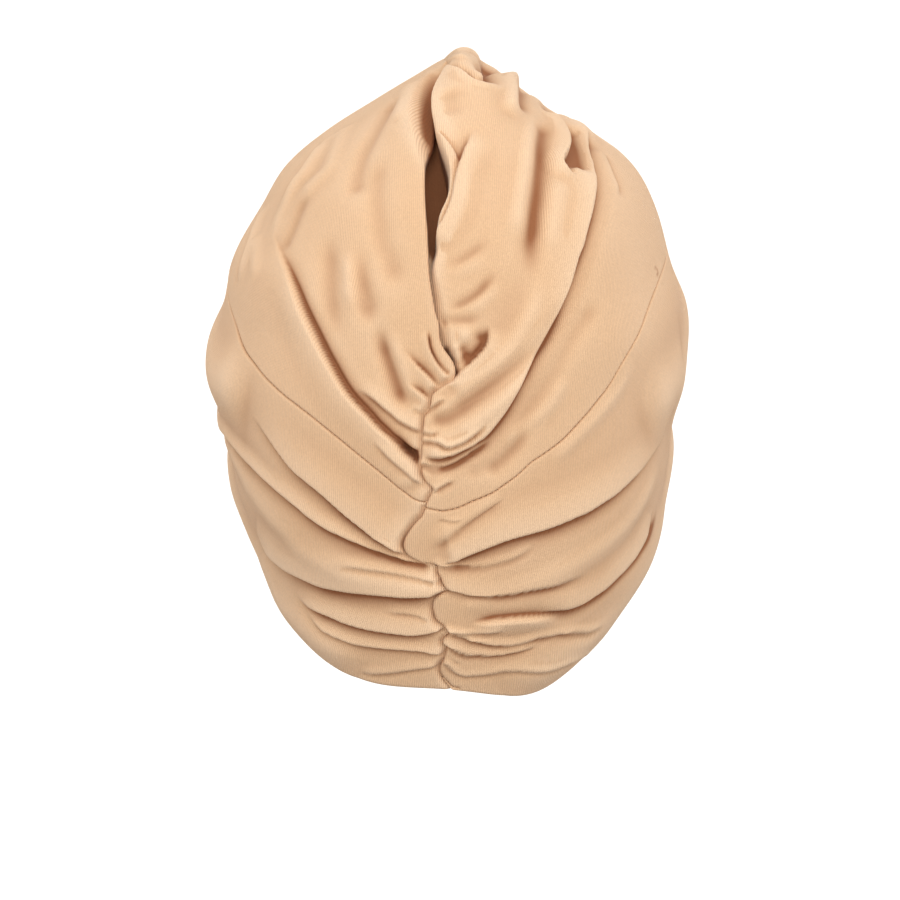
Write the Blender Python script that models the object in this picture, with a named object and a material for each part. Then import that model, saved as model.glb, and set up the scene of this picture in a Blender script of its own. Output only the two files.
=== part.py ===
"""Pre-tied jersey turban hat, in metres, +Z up.

The forehead faces -Y and the back of the head faces +Y. The wearer's left is +X, which is the left
of the back view too. Four cloth sheets make the hat: two pleated bands and two draped crowns, which
meet along stitched seams.

Lines on the cloth were charted by hand on the back view, in millimetres: how far across to the
right of the centre, and how far up from the nape's rim. Lines that run on to the front are given as
an angle round the head from the centre back, positive to the right, and a height.
"""
import math
from collections import namedtuple

import bpy
import numpy as np

MM = 0.001

# Cloth, in millimetres
BAND_THICKNESS = 2.0
CROWN_THICKNESS = 1.7
SEAM_HALF_GAP = 0.2
FRONT_HALF_GAP = 0.25
CREASE_HALF_WIDTH = 2.4

# The back view that the lines were charted in
VIEW_TILT = math.radians(12)
NAPE_DEPTH = 80.0
SEAT_HEIGHT = 44.0

# The rim is a tilted plane that rises to the forehead, and sits a little lower on the right
RIM_RISE = 0.51
RIM_LEAN = 0.035
RIM_DIP = 1.2

SECTION_ROUNDNESS = 2.2

# Level sections of the smooth form under the folds: how far it reaches to each side from the centre
Section = namedtuple("Section", "height left right back front")
SECTIONS = (
    Section(0, 64, 64, 78, 96),
    Section(20, 69, 72, 88, 97),
    Section(41, 74, 81.5, 95.5, 98),
    Section(64, 83, 86.5, 101, 99),
    Section(80, 86.5, 89.5, 103.5, 100),
    Section(100, 90.5, 91.5, 104.5, 101),
    Section(120, 92, 93, 103.5, 101),
    Section(140, 88.5, 92, 100.5, 100),
    Section(160, 83, 86.5, 95.5, 96),
    Section(180, 71.5, 81.5, 87.5, 89),
    Section(195, 63, 74, 78.5, 81),
    Section(208, 50, 59.5, 66.5, 70),
    Section(220, 32, 41, 54, 58),
    Section(231, 15, 29, 37, 41),
    Section(238, 2.5, 17, 18, 30),
    Section(241, -6, 6, -8, 8),
)

# Stitched seams between band and crown: first across the back view, then round the side and front
LEFT_SEAM_SEEN = (
    (3, 70.5), (-9, 75), (-16, 78.5), (-28, 88.5), (-41, 99), (-54, 109), (-66, 119), (-76, 129.5),
    (-83, 142),
)
LEFT_SEAM_AROUND = ((-92, 152), (-120, 172), (-150, 188), (-184, 196))
RIGHT_SEAM_SEEN = (
    (-8.3, 72.5), (0, 71.8), (10, 75), (20, 80), (34, 91), (47, 100.5), (60, 115), (70, 130), (78, 145),
)
RIGHT_SEAM_AROUND = ((88, 165), (115, 180), (145, 190), (176, 196))
FRONT_MEETING = RIGHT_SEAM_AROUND[-1]

# Back edges of the bands. The right one lies on top and shows, and the left is tucked in under it.
RIGHT_BAND_BACK = (
    (2.5, 0.5), (-2.3, 8), (-0.5, 14), (-1.2, 19), (0.6, 22.5), (-4, 28.5), (-5.2, 33.5), (-2, 38.5),
    (1, 39.8), (-2.2, 44), (-3.4, 48.5), (-6, 50.6), (-13, 52.6), (-17, 57.5), (-14, 64.5), (-9.5, 69.5),
)
LEFT_BAND_BACK = ((11, 0), (10, 15), (9, 30), (10, 45), (6, 58), (3, 68))

# Centre edges of the crowns, from the back seam over the top to the front seam
RIGHT_CROWN_SEEN = (
    (-6, 78.5), (-5.5, 80.5), (-9.5, 86), (-10.2, 91), (-9.5, 99), (-8.6, 109.5), (-6, 115.5),
    (-2.5, 120.3), (3.2, 123.4), (-1, 124.4), (-7, 128.5), (-14, 138), (-18, 152), (-20, 170), (-20, 192), (-19.5, 207),
    (-18, 218), (-15, 228), (-9.5, 238), (-3, 247), (2.5, 252.5),
)
CROSSING_POINT = 8
LEFT_CROWN_SEEN = (
    (4, 80), (2, 90), (1.5, 102), (1, 112), (0.5, 118), (-1, 122.5), (-2, 128), (-3.2, 134.5), (-5, 141),
    (-6, 149), (-8.6, 162), (-9.6, 175), (-10.8, 190), (-11.2, 205), (-10.8, 218), (-9.5, 229), (-6, 239.5),
    (-1, 247.6), (3.4, 252.7),
)
CROWN_FRONT_AROUND = ((182, 238), (179, 226), (177, 210))
FRONT_LINE_AROUND = ((186, 90), (184, 110), (180, 132), (175, 155), (174, 178))

# Folds: the cloth on the bulging side laps over a crease, which runs along the path. Path points are
# across and up in the back view; more may follow as angle and height round the side.
Fold = namedtuple("Fold", "name side bulge rise reach drop fade_start fade_end path around")
FOLDS = (
    Fold("left long lap", "left", "below", 3.5, 24, 4.5, 22, 0,
         ((-67, 178), (-63, 168), (-57, 152), (-49, 136), (-41, 121.5), (-31, 110), (-18, 97),
          (-10, 86)), ()),
    Fold("left crown gather", "left", "above", 1.5, 9, 2, 12, 0,
         ((-37, 119.5), (-29, 115.8), (-19, 107.3), (-9, 103)), ()),
    Fold("left shoulder lap", "left", "right", 2, 14, 2, 12, 15,
         ((-46, 223), (-55, 211.5), (-63, 200.5), (-68, 191)), ()),
    Fold("left side lap", "left", "right", 2, 14, 2, 8, 15,
         ((-73, 194), (-77.5, 184), (-81.5, 172), (-84, 160)), ()),
    Fold("left band pleat 1", "left", "above", 3, 17, 2.5, 25, 0,
         ((-72, 100), (-60, 87), (-50, 79), (-40, 70), (-30, 62), (-20, 56), (-9, 50)), ()),
    Fold("left band pleat 2", "left", "above", 2.2, 12, 2, 20, 0,
         ((-78, 90), (-60, 74), (-50, 66), (-40, 60.5), (-30, 56), (-20, 52), (-1, 50)), ()),
    Fold("left band pleat 3", "left", "above", 3.5, 18, 2.5, 25, 0,
         ((-76, 68), (-70, 54), (-60, 45.2), (-50, 41.5), (-40, 39.7), (-20, 37.5), (-5, 37.5),
          (1, 39.5)), ()),
    Fold("left band pleat 4", "left", "above", 2.5, 13, 2, 20, 0,
         ((-64, 42), (-55, 33.5), (-45, 29), (-30, 24), (-20, 22.5), (-8, 22.6), (0, 24)), ()),
    Fold("left band pleat 5", "left", "above", 1.8, 8, 1.5, 20, 0,
         ((-57, 32), (-45, 22.5), (-35, 18), (-20, 16), (-5, 14.3), (0, 14.3)), ()),
    Fold("right sweep lap", "right", "above", 3.5, 26, 3, 25, 10,
         ((56, 224), (59.5, 205), (58, 190), (52.5, 172), (46, 152), (36, 129.5), (27, 110), (18, 97.5),
          (9, 91.3), (-4, 87.2)), ()),
    Fold("right crown channel", "right", "left", 2.5, 18, 4, 20, 20,
         ((39, 226), (37.5, 205), (35.2, 185), (35.5, 166)), ()),
    Fold("right shoulder lap", "right", "left", 2, 12, 3.5, 6, 8,
         ((41.5, 231.5), (49, 221), (49, 214.5), (46.7, 210), (50, 206)), ()),
    Fold("puff lap", "right", "right", 3, 16, 1.5, 10, 15,
         ((10, 220), (6, 211), (2.2, 196), (-3.5, 183), (-6, 172)), ()),
    Fold("pocket lip", "right", "below", 2, 16, 4, 4, 16,
         ((3, 124), (7.5, 127.3), (14.5, 134.5), (19, 144)), ()),
    Fold("far top lap", "right", "below", 1.5, 12, 3, 8, 6,
         ((-4, 247), (4, 250), (11, 246.6), (21, 242.6)), ()),
    Fold("right band pleat 1", "right", "above", 3, 22, 2.5, 8, 20,
         ((-1, 50.4), (10, 54.2), (25, 60), (40, 64.3), (55, 70.5), (68, 78.5), (80, 90), (88, 103)), ()),
    Fold("right band pleat 2", "right", "above", 1.6, 10, 1.5, 0, 20,
         ((1.4, 39.8), (8, 38.2), (19, 37.6), (28, 38.5), (41, 41), (58, 47)), ()),
    Fold("right band deep crease", "right", "below", 3, 13, 3.5, 14, 0,
         ((12, 27), (30, 28.4), (50, 31.6), (60, 35.6), (70, 43), (80, 57), (86, 70), (88, 77)), ()),
    Fold("right band pleat 3", "right", "above", 1.8, 9, 1.5, 0, 20,
         ((1.5, 23), (9, 20), (18, 18.1), (29, 18.4), (45, 22), (62, 28)), ()),
    Fold("right band pleat 4", "right", "above", 2.2, 8, 1.5, 0, 14,
         ((0, 17.8), (5, 14.5), (14, 13), (26, 14), (38, 18)), ()),
    Fold("left front pleat 1", "left", "above", 2.2, 16, 1.5, 40, 15,
         (), ((-80, 92), (-120, 115), (-150, 135), (-178, 152))),
    Fold("left front pleat 2", "left", "above", 2.2, 15, 1.5, 40, 15,
         (), ((-85, 66), (-120, 92), (-150, 111), (-178, 124))),
    Fold("right front pleat 1", "right", "above", 2.2, 16, 1.5, 40, 15,
         (), ((80, 100), (120, 122), (150, 142), (172, 158))),
    Fold("right front pleat 2", "right", "above", 2.2, 15, 1.5, 40, 15,
         (), ((88, 70), (120, 96), (150, 115), (176, 130))),
)
# Over how much of its path a fold grows where it has no fade, and how far its low side reaches as a
# share of its bulge's reach
FOLD_ROUND_END = 6.0
LOW_SIDE_SHARE = 0.6

# The pocket between the crowns: how deep the right crown lies left of the line, how wide its slope is,
# and how much of the slope lies left of the line
PocketRow = namedtuple("PocketRow", "across up depth slope")
POCKET = (
    PocketRow(5, 254, 4, 7), PocketRow(-3, 247, 6.5, 6), PocketRow(-8, 237, 10, 5),
    PocketRow(-6.5, 224, 13, 4), PocketRow(-1.5, 210, 13, 4), PocketRow(-2, 198, 13, 4),
    PocketRow(-5, 186, 12, 5), PocketRow(-7, 170, 10, 9), PocketRow(-5, 156, 8, 14),
    PocketRow(-2.6, 143, 7.5, 14), PocketRow(0, 134, 7.5, 12), PocketRow(4, 126, 7.5, 10),
)
POCKET_SLOPE_LEFT = 0.15
POCKET_TOP_FADE, POCKET_END_FADE = 26.0, 3.0

# Where the left sheets are tucked in under the right ones: how deep, over how wide a slope, and over how
# much of the edge's end the tuck fades
TUCK_DEPTH, TUCK_SLOPE, TUCK_FADE = 5.0, 7.0, 8.0

# The right sheets stay above the tucked cloth: the lowest that they lie near their edge, and elsewhere
EDGE_HELD, EDGE_LOWEST, FOLD_LOWEST = 12.0, -1.0, -4.0

# How finely each sheet is divided: strips round the head, and rows up the cloth
BAND_STRIPS, BAND_ROWS = 38, 13
CROWN_STRIPS, CROWN_ROWS = 38, 23
BACK_CROWDING = 0.5
EDGE_STRAIGHTENING = 3
CORNER_SHARPNESS = 8
LINE_SPACING = 2.5
LINE_STEPS = 12
ROUND_STEPS = 240
LEVEL_STEPS = 600
NORMAL_STEP = 0.4
HALVINGS = 40
SMALLEST = 1e-6

# Where along its centre edge a crown's side ends and its top begins, as a share of the edge's length, and
# over which further share the front gap opens
TOP_START, TOP_END = 0.52, 0.72
GAP_OPENING = 0.15

# The rim lies in this lower share of the cloth's length, and the form runs on this far below it
RIM_SHARE = 0.6
FORM_RUN_ON = 30.0

SAND = (0.80, 0.60, 0.42, 1.0)


def smooth(value):
    """Ease from 0 to 1 as the value goes from 0 to 1."""
    held = np.clip(value, 0.0, 1.0)
    return held * held * (3.0 - 2.0 * held)


def curve_through(points, spacing):
    """Smooth curve through points, as points at an even spacing."""
    points = np.asarray(points, dtype=float)
    before = 2 * points[0] - points[1]
    after = 2 * points[-1] - points[-2]
    padded = np.vstack([before, points, after])
    pieces = []
    for index in range(len(points) - 1):
        p0, p1, p2, p3 = padded[index:index + 4]
        along = np.linspace(0, 1, LINE_STEPS, endpoint=False)[:, None]
        pieces.append(0.5 * (2 * p1 + (p2 - p0) * along + (2 * p0 - 5 * p1 + 4 * p2 - p3) * along ** 2
                             + (3 * p1 - p0 - 3 * p2 + p3) * along ** 3))
    pieces.append(points[-1:])
    dense = np.vstack(pieces)
    return resample(dense, spacing=spacing)


def lengths_along(points):
    """Running length along a line of points."""
    steps = np.linalg.norm(np.diff(points, axis=0), axis=1)
    return np.concatenate([[0.0], np.cumsum(steps)])


def resample(points, spacing=None, shares=None):
    """Points along a line, at an even spacing or at given shares of its length."""
    run = lengths_along(points[:, :2])
    if shares is None:
        count = max(3, int(round(run[-1] / spacing)) + 1)
        shares = np.linspace(0, 1, count)
    wanted = np.asarray(shares) * run[-1]
    return np.stack([np.interp(wanted, run, column) for column in points.T], axis=1)


class Form:
    """The smooth rounded form under the folds.

    Its surface is laid out flat as a round map: the distance from the middle is the length down the
    cloth from the top, and the direction is the angle round the head. Map x runs to the right side
    and map y to the back.
    """

    def __init__(self):
        rows = np.array([(row.height, (row.left + row.right) / 2, (row.left - row.right) / 2,
                          (row.back + row.front) / 2, (row.back - row.front) / 2) for row in SECTIONS])
        mean_radius = (rows[:, 1] + rows[:, 3]) / 2
        steps = np.hypot(np.diff(mean_radius), np.diff(rows[:, 0]))
        self.levels = np.concatenate([[0.0], np.cumsum(steps)])
        self.top = self.levels[-1]
        mirrored = rows[-2] * np.array([1, -1, 1, -1, 1])
        levels = np.concatenate([[-self.levels[1]], self.levels, [2 * self.top - self.levels[-2]]])
        padded = np.vstack([2 * rows[0] - rows[1], rows, mirrored])
        slopes = (padded[2:] - padded[:-2]) / (levels[2:] - levels[:-2])[:, None]
        self.rows = rows
        self.slopes = slopes
        self.fine_levels = np.linspace(0, self.top, LEVEL_STEPS)
        self.fine_heights = self.section(self.fine_levels)[0]

    def section(self, level):
        """Height, half width, centre x, half depth and centre y at each level up the cloth."""
        level = np.clip(level, -FORM_RUN_ON, self.top)
        index = np.clip(np.searchsorted(self.levels, level) - 1, 0, len(self.levels) - 2)
        start = self.levels[index]
        span = self.levels[index + 1] - start
        t = ((level - start) / span)[..., None]
        span = span[..., None]
        value = ((2 * t ** 3 - 3 * t ** 2 + 1) * self.rows[index]
                 + (t ** 3 - 2 * t ** 2 + t) * span * self.slopes[index]
                 + (3 * t ** 2 - 2 * t ** 3) * self.rows[index + 1]
                 + (t ** 3 - t ** 2) * span * self.slopes[index + 1])
        return tuple(np.moveaxis(value, -1, 0))

    def point(self, flat):
        """Points of the form at map places."""
        flat = np.asarray(flat, dtype=float)
        distance = np.hypot(flat[..., 0], flat[..., 1])
        safe = np.maximum(distance, SMALLEST)
        sideways, backward = flat[..., 0] / safe, flat[..., 1] / safe
        height, half_width, centre_x, half_depth, centre_y = self.section(self.top - distance)
        half_width = np.maximum(half_width, SMALLEST)
        half_depth = np.maximum(half_depth, SMALLEST)
        power = SECTION_ROUNDNESS
        reach = (np.abs(sideways) / half_width) ** power + (np.abs(backward) / half_depth) ** power
        reach = reach ** (-1 / power)
        return np.stack([centre_x - reach * sideways, centre_y + reach * backward, height], axis=-1)

    def normal(self, flat):
        """Outward directions of the form at map places."""
        flat = np.asarray(flat, dtype=float)
        right = self.point(flat + (NORMAL_STEP, 0)) - self.point(flat - (NORMAL_STEP, 0))
        back = self.point(flat + (0, NORMAL_STEP)) - self.point(flat - (0, NORMAL_STEP))
        across = np.cross(back, right)
        return across / np.linalg.norm(across, axis=-1, keepdims=True)

    def from_view(self, across, up):
        """Map place of a point charted on the back view."""
        height, half_width, centre_x, half_depth, centre_y = self.section(self.fine_levels)
        share = np.clip(np.abs(-across - centre_x) / np.maximum(half_width, SMALLEST), 0, 1)
        depth = centre_y + half_depth * (1 - share ** SECTION_ROUNDNESS) ** (1 / SECTION_ROUNDNESS)
        ups = height * math.cos(VIEW_TILT) + (NAPE_DEPTH - depth) * math.sin(VIEW_TILT)
        horizon = int(np.argmax(ups))
        level = np.interp(up, ups[:horizon + 1], self.fine_levels[:horizon + 1])
        depth_here = np.interp(level, self.fine_levels, depth)
        centre_x_here = np.interp(level, self.fine_levels, centre_x)
        centre_y_here = np.interp(level, self.fine_levels, centre_y)
        angle = math.atan2(across + centre_x_here, depth_here - centre_y_here)
        return (self.top - level) * math.sin(angle), (self.top - level) * math.cos(angle)

    def from_around(self, degrees, height):
        """Map place of a point given by its angle round the head and its height."""
        level = np.interp(height, self.fine_heights, self.fine_levels)
        angle = math.radians(degrees)
        return (self.top - level) * math.sin(angle), (self.top - level) * math.cos(angle)

    def line(self, seen, around):
        """Map line through points charted on the back view and then round the head."""
        places = [self.from_view(*point) for point in seen] + [self.from_around(*point) for point in around]
        return curve_through(places, LINE_SPACING)

    def rim(self, degrees):
        """Map places of the rim at angles round the head."""
        angles = np.radians(np.asarray(degrees, dtype=float))
        low = np.zeros_like(angles)
        high = np.full_like(angles, self.top * RIM_SHARE)
        for _ in range(HALVINGS):
            level = (low + high) / 2
            distance = self.top - level
            place = np.stack([distance * np.sin(angles), distance * np.cos(angles)], axis=-1)
            point = self.point(place)
            wanted = RIM_RISE * (NAPE_DEPTH - point[..., 1]) + RIM_LEAN * point[..., 0] - RIM_DIP
            above = point[..., 2] > wanted
            high = np.where(above, level, high)
            low = np.where(above, low, level)
        return place


def angle_of(place):
    """Angle round the head of a map place, in degrees."""
    return math.degrees(math.atan2(place[0], place[1])) % 360


def reach_along(form, line, points_at, normals_at):
    """Distance of form points from a map line, positive left of its run, and how far along it they are."""
    nodes = form.point(line)
    run = lengths_along(nodes)
    best = np.full(len(points_at), np.inf)
    signed = np.zeros(len(points_at))
    along = np.zeros(len(points_at))
    for index in range(len(nodes) - 1):
        start, end = nodes[index], nodes[index + 1]
        edge = end - start
        length = np.linalg.norm(edge)
        offset = points_at - start
        raw = offset @ edge / length ** 2
        if index == 0:
            share = np.minimum(raw, 1)
        elif index == len(nodes) - 2:
            share = np.maximum(raw, 0)
        else:
            share = np.clip(raw, 0, 1)
        held = np.clip(share, 0, 1)
        gap = offset - held[:, None] * edge
        distance = np.linalg.norm(gap, axis=1)
        closer = distance < best
        best = np.where(closer, distance, best)
        side = np.einsum("ij,ij->i", np.cross(normals_at, edge[None, :]), gap)
        signed = np.where(closer, np.where(side >= 0, distance, -distance), signed)
        along = np.where(closer, run[index] + share * length, along)
    return signed, along, run[-1]


def bulge_sign(seen, around, bulge):
    """+1 where the bulging side is left of the path's run, else -1."""
    path = np.array(seen if len(seen) > 1 else around, dtype=float)
    run = path[-1] - path[0]
    left_of_run = np.array([-run[1], run[0]])
    wanted = {"above": (0, 1), "below": (0, -1), "right": (1, 0), "left": (-1, 0)}[bulge]
    return 1.0 if left_of_run @ np.array(wanted) > 0 else -1.0


def end_strength(inward, fade):
    """How strong a fold is at distances inward from its end: it fades in, or is whole and rounds off."""
    return smooth(inward / fade) if fade else smooth(1 + inward / FOLD_ROUND_END)


def fold_height(form, fold, points_at, normals_at):
    """How far one fold lifts or sinks each point."""
    line = form.line(fold.path, fold.around)
    signed, along, total = reach_along(form, line, points_at, normals_at)
    signed = signed * bulge_sign(fold.path, fold.around, fold.bulge)
    strength = end_strength(along, fold.fade_start) * end_strength(total - along, fold.fade_end)
    lip = smooth(signed / (2 * CREASE_HALF_WIDTH))
    decay = 1 - smooth(signed / fold.reach)
    bulging = fold.rise * decay * lip - fold.drop * (1 - lip)
    sunken = -fold.drop * np.clip(1 + signed / (fold.reach * LOW_SIDE_SHARE), 0, 1) ** 2
    return strength * np.where(signed > 0, bulging, sunken)


def pocket_height(form, points_at, normals_at):
    """How far the right crown sinks left of the pocket's line."""
    rows = np.array([form.from_view(row.across, row.up) + (row.depth, row.slope) for row in POCKET])
    line = curve_through(rows, LINE_SPACING)
    signed, along, total = reach_along(form, line[:, :2], points_at, normals_at)
    run = lengths_along(form.point(line[:, :2]))
    depth = np.interp(along, run, line[:, 2])
    slope = np.interp(along, run, line[:, 3])
    depth = depth * smooth(1 + along / POCKET_TOP_FADE) * smooth(1 + (total - along) / POCKET_END_FADE)
    return -depth * (1 - smooth(signed / slope + POCKET_SLOPE_LEFT))


def pinned(line, first, last):
    """A line nudged so that its ends sit on two given places."""
    share = np.linspace(0, 1, len(line))[:, None]
    near_first = (1 - share) ** CORNER_SHARPNESS
    near_last = share ** CORNER_SHARPNESS
    return line + (first - line[0]) * near_first + (last - line[-1]) * near_last


def sheet_map(bottom, top, start_edge, end_edge, strips, rows):
    """Map places of a sheet's grid between its four edges, crowded toward the centre back."""
    u = np.linspace(0, 1, strips + 1)
    u = u * (1 - BACK_CROWDING) + u * u * BACK_CROWDING
    v = np.linspace(0, 1, rows + 1)
    low = resample(bottom, shares=u)
    high = resample(top, shares=u)
    start = pinned(resample(start_edge, shares=v), low[0], high[0])
    end = pinned(resample(end_edge, shares=v), low[-1], high[-1])
    share_v = v[None, :, None]
    grid = low[:, None, :] * (1 - share_v) + high[:, None, :] * share_v
    start_chord = low[0] * (1 - v[:, None]) + high[0] * v[:, None]
    end_chord = low[-1] * (1 - v[:, None]) + high[-1] * v[:, None]
    near_start = ((1 - u) ** EDGE_STRAIGHTENING)[:, None, None]
    near_end = (u ** EDGE_STRAIGHTENING)[:, None, None]
    return grid + near_start * (start - start_chord)[None] + near_end * (end - end_chord)[None]


def trimmed_arc(line, from_degrees, to_degrees, mirrored):
    """The stretch of a line round the head between two angles."""
    angles = np.degrees(np.arctan2(line[:, 0], line[:, 1]))
    if mirrored:
        angles = np.where(angles > 90, angles - 360, angles)
    else:
        angles = np.where(angles < -90, angles + 360, angles)
    order = np.argsort(angles)
    wanted = np.linspace(from_degrees, to_degrees, ROUND_STEPS)
    distance = np.hypot(line[:, 0], line[:, 1])[order]
    found = np.interp(wanted, angles[order], distance)
    radians = np.radians(wanted)
    return np.stack([found * np.sin(radians), found * np.cos(radians)], axis=1)


def moved_out(line, amount):
    """A line round the head, moved down the cloth by an amount."""
    distance = np.hypot(line[:, 0], line[:, 1])[:, None]
    return line * (distance + amount) / distance


def add_sheet(name, grid, outer, inner, material):
    """One closed cloth solid from the outer and inner points of its grid."""
    strips, rows = grid.shape[0] - 1, grid.shape[1] - 1
    count = (strips + 1) * (rows + 1)
    points = np.vstack([outer.reshape(-1, 3), inner.reshape(-1, 3)]) * MM
    points[:, 2] -= SEAT_HEIGHT * MM

    def at(strip, row, layer):
        return layer * count + strip * (rows + 1) + row

    faces = []
    for strip in range(strips):
        for row in range(rows):
            corners = (strip, row), (strip + 1, row), (strip + 1, row + 1), (strip, row + 1)
            faces.append([at(s, r, 0) for s, r in corners])
            faces.append([at(s, r, 1) for s, r in reversed(corners)])
    border = [(s, 0) for s in range(strips)] + [(strips, r) for r in range(rows)]
    border += [(s, rows) for s in range(strips, 0, -1)] + [(0, r) for r in range(rows, 0, -1)]
    for here, after in zip(border, border[1:] + border[:1]):
        faces.append([at(*after, 0), at(*here, 0), at(*here, 1), at(*after, 1)])
    mesh = bpy.data.meshes.new(name)
    mesh.from_pydata([tuple(point) for point in points], [], faces)
    mesh.validate()
    mesh.shade_smooth()
    mesh.materials.append(material)
    sheet = bpy.data.objects.new(name, mesh)
    bpy.context.scene.collection.objects.link(sheet)
    return sheet


def jersey():
    """Sand-coloured matte knit."""
    material = bpy.data.materials.new("sand_jersey")
    material.use_nodes = True
    shader = material.node_tree.nodes["Principled BSDF"]
    shader.inputs["Base Color"].default_value = SAND
    shader.inputs["Roughness"].default_value = 0.9
    shader.inputs["Metallic"].default_value = 0.0
    return material


class Turban:
    """Works out the four sheets from the tables above."""

    def __init__(self):
        form = Form()
        self.form = form
        front = form.line((), FRONT_LINE_AROUND + (FRONT_MEETING,))
        left_seam = form.line(LEFT_SEAM_SEEN, LEFT_SEAM_AROUND)
        right_seam = form.line(RIGHT_SEAM_SEEN, RIGHT_SEAM_AROUND)
        self.right_back = form.line(RIGHT_BAND_BACK + (RIGHT_SEAM_SEEN[0],), ())
        left_back = form.line(LEFT_BAND_BACK + (LEFT_SEAM_SEEN[0],), ())
        crown_front = CROWN_FRONT_AROUND + (FRONT_MEETING,)
        right_crown_edge = form.line((RIGHT_SEAM_SEEN[0],) + RIGHT_CROWN_SEEN, crown_front)
        left_crown_edge = form.line((LEFT_SEAM_SEEN[0],) + LEFT_CROWN_SEEN, crown_front)
        self.front = front
        self.seams = {"left": left_seam, "right": right_seam}
        self.back_edges = {"left": left_back, "right": self.right_back}
        self.crown_edges = {"left": left_crown_edge, "right": right_crown_edge}

    def band_grid(self, side):
        """Map grid of one band."""
        mirrored = side == "left"
        sign = -1 if mirrored else 1
        back = self.back_edges[side]
        front = self.front + (sign * FRONT_HALF_GAP, 0)
        seam_start = math.degrees(math.atan2(back[-1][0], back[-1][1]))
        rim_start = math.degrees(math.atan2(back[0][0], back[0][1]))
        rim_end = angle_of(front[0]) - (360 if mirrored else 0)
        seam_end = angle_of(front[-1]) - (360 if mirrored else 0)
        bottom = self.rim_between(rim_start, rim_end)
        top = trimmed_arc(self.seams[side], seam_start, seam_end, mirrored)
        top = moved_out(top, SEAM_HALF_GAP)
        return sheet_map(bottom, top, back, front, BAND_STRIPS, BAND_ROWS)

    def rim_between(self, from_degrees, to_degrees):
        """The rim between two angles."""
        return self.form.rim(np.linspace(from_degrees, to_degrees, ROUND_STEPS))

    def crown_grid(self, side):
        """Map grid of one crown."""
        mirrored = side == "left"
        sign = -1 if mirrored else 1
        edge = self.crown_edges[side].copy()
        share = lengths_along(edge) / lengths_along(edge)[-1]
        frontward = smooth((share - TOP_START) / GAP_OPENING)
        edge[:, 0] += sign * FRONT_HALF_GAP * frontward
        seam_start = math.degrees(math.atan2(edge[0][0], edge[0][1]))
        seam_end = angle_of(edge[-1]) - (360 if mirrored else 0)
        bottom = moved_out(trimmed_arc(self.seams[side], seam_start, seam_end, mirrored), -SEAM_HALF_GAP)
        shares = np.linspace(0, 1, ROUND_STEPS)
        start_edge = resample(edge, shares=shares * TOP_START)
        top = resample(edge, shares=TOP_START + shares * (TOP_END - TOP_START))
        end_edge = resample(edge, shares=1 - shares * (1 - TOP_END))
        return sheet_map(bottom, top, start_edge, end_edge, CROWN_STRIPS, CROWN_ROWS)

    def lift(self, side, kind, flat):
        """How far the outer face stands off the smooth form at each map place."""
        form = self.form
        points_at = form.point(flat)
        normals_at = form.normal(flat)
        height = np.zeros(len(flat))
        for fold in FOLDS:
            if fold.side == side:
                height += fold_height(form, fold, points_at, normals_at)
        if side == "right":
            edge = self.right_back if kind == "band" else self.visible_right_edge()
            signed, _, _ = reach_along(form, edge, points_at, normals_at)
            lowest = np.where(np.abs(signed) < EDGE_HELD, EDGE_LOWEST, FOLD_LOWEST)
            height = np.maximum(height, lowest)
        if side == "right" and kind == "crown":
            height += pocket_height(form, points_at, normals_at)
        if side == "left":
            edge = self.right_back if kind == "band" else self.visible_right_edge()
            signed, along, total = reach_along(form, edge, points_at, normals_at)
            covered = smooth((TUCK_SLOPE - signed) / TUCK_SLOPE)
            if kind == "crown":
                covered = covered * smooth((total - along + TUCK_FADE) / (2 * TUCK_FADE))
            height = height * (1 - covered) - TUCK_DEPTH * covered
        return height, points_at, normals_at

    def visible_right_edge(self):
        """The stretch of the right crown's edge that lies over the left crown."""
        return self.form.line((RIGHT_SEAM_SEEN[0],) + RIGHT_CROWN_SEEN[:CROSSING_POINT + 1], ())

    def sheet(self, name, side, kind, thickness, material):
        """Make one sheet as an object."""
        grid = self.band_grid(side) if kind == "band" else self.crown_grid(side)
        flat = grid.reshape(-1, 2)
        height, points_at, normals_at = self.lift(side, kind, flat)
        outer = points_at + normals_at * height[:, None]
        inner = outer - normals_at * thickness
        if side == "left":
            grid = grid[::-1]
            outer = outer.reshape(grid.shape[0], grid.shape[1], 3)[::-1]
            inner = inner.reshape(grid.shape[0], grid.shape[1], 3)[::-1]
        return add_sheet(name, grid, outer, inner, material)


def main():
    """Clear the scene and make the hat."""
    for thing in list(bpy.data.objects):
        bpy.data.objects.remove(thing)
    material = jersey()
    turban = Turban()
    turban.sheet("band_left", "left", "band", BAND_THICKNESS, material)
    turban.sheet("band_right", "right", "band", BAND_THICKNESS, material)
    turban.sheet("crown_left", "left", "crown", CROWN_THICKNESS, material)
    turban.sheet("crown_right", "right", "crown", CROWN_THICKNESS, material)


if __name__ == "__main__":
    main()
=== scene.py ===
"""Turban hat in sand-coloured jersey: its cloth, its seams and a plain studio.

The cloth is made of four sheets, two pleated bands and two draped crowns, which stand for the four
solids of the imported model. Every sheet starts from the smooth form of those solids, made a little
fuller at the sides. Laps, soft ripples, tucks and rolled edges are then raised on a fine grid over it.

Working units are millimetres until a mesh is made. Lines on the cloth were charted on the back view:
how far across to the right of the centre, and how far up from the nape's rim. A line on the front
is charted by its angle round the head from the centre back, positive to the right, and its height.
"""
import math
from collections import namedtuple

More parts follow.
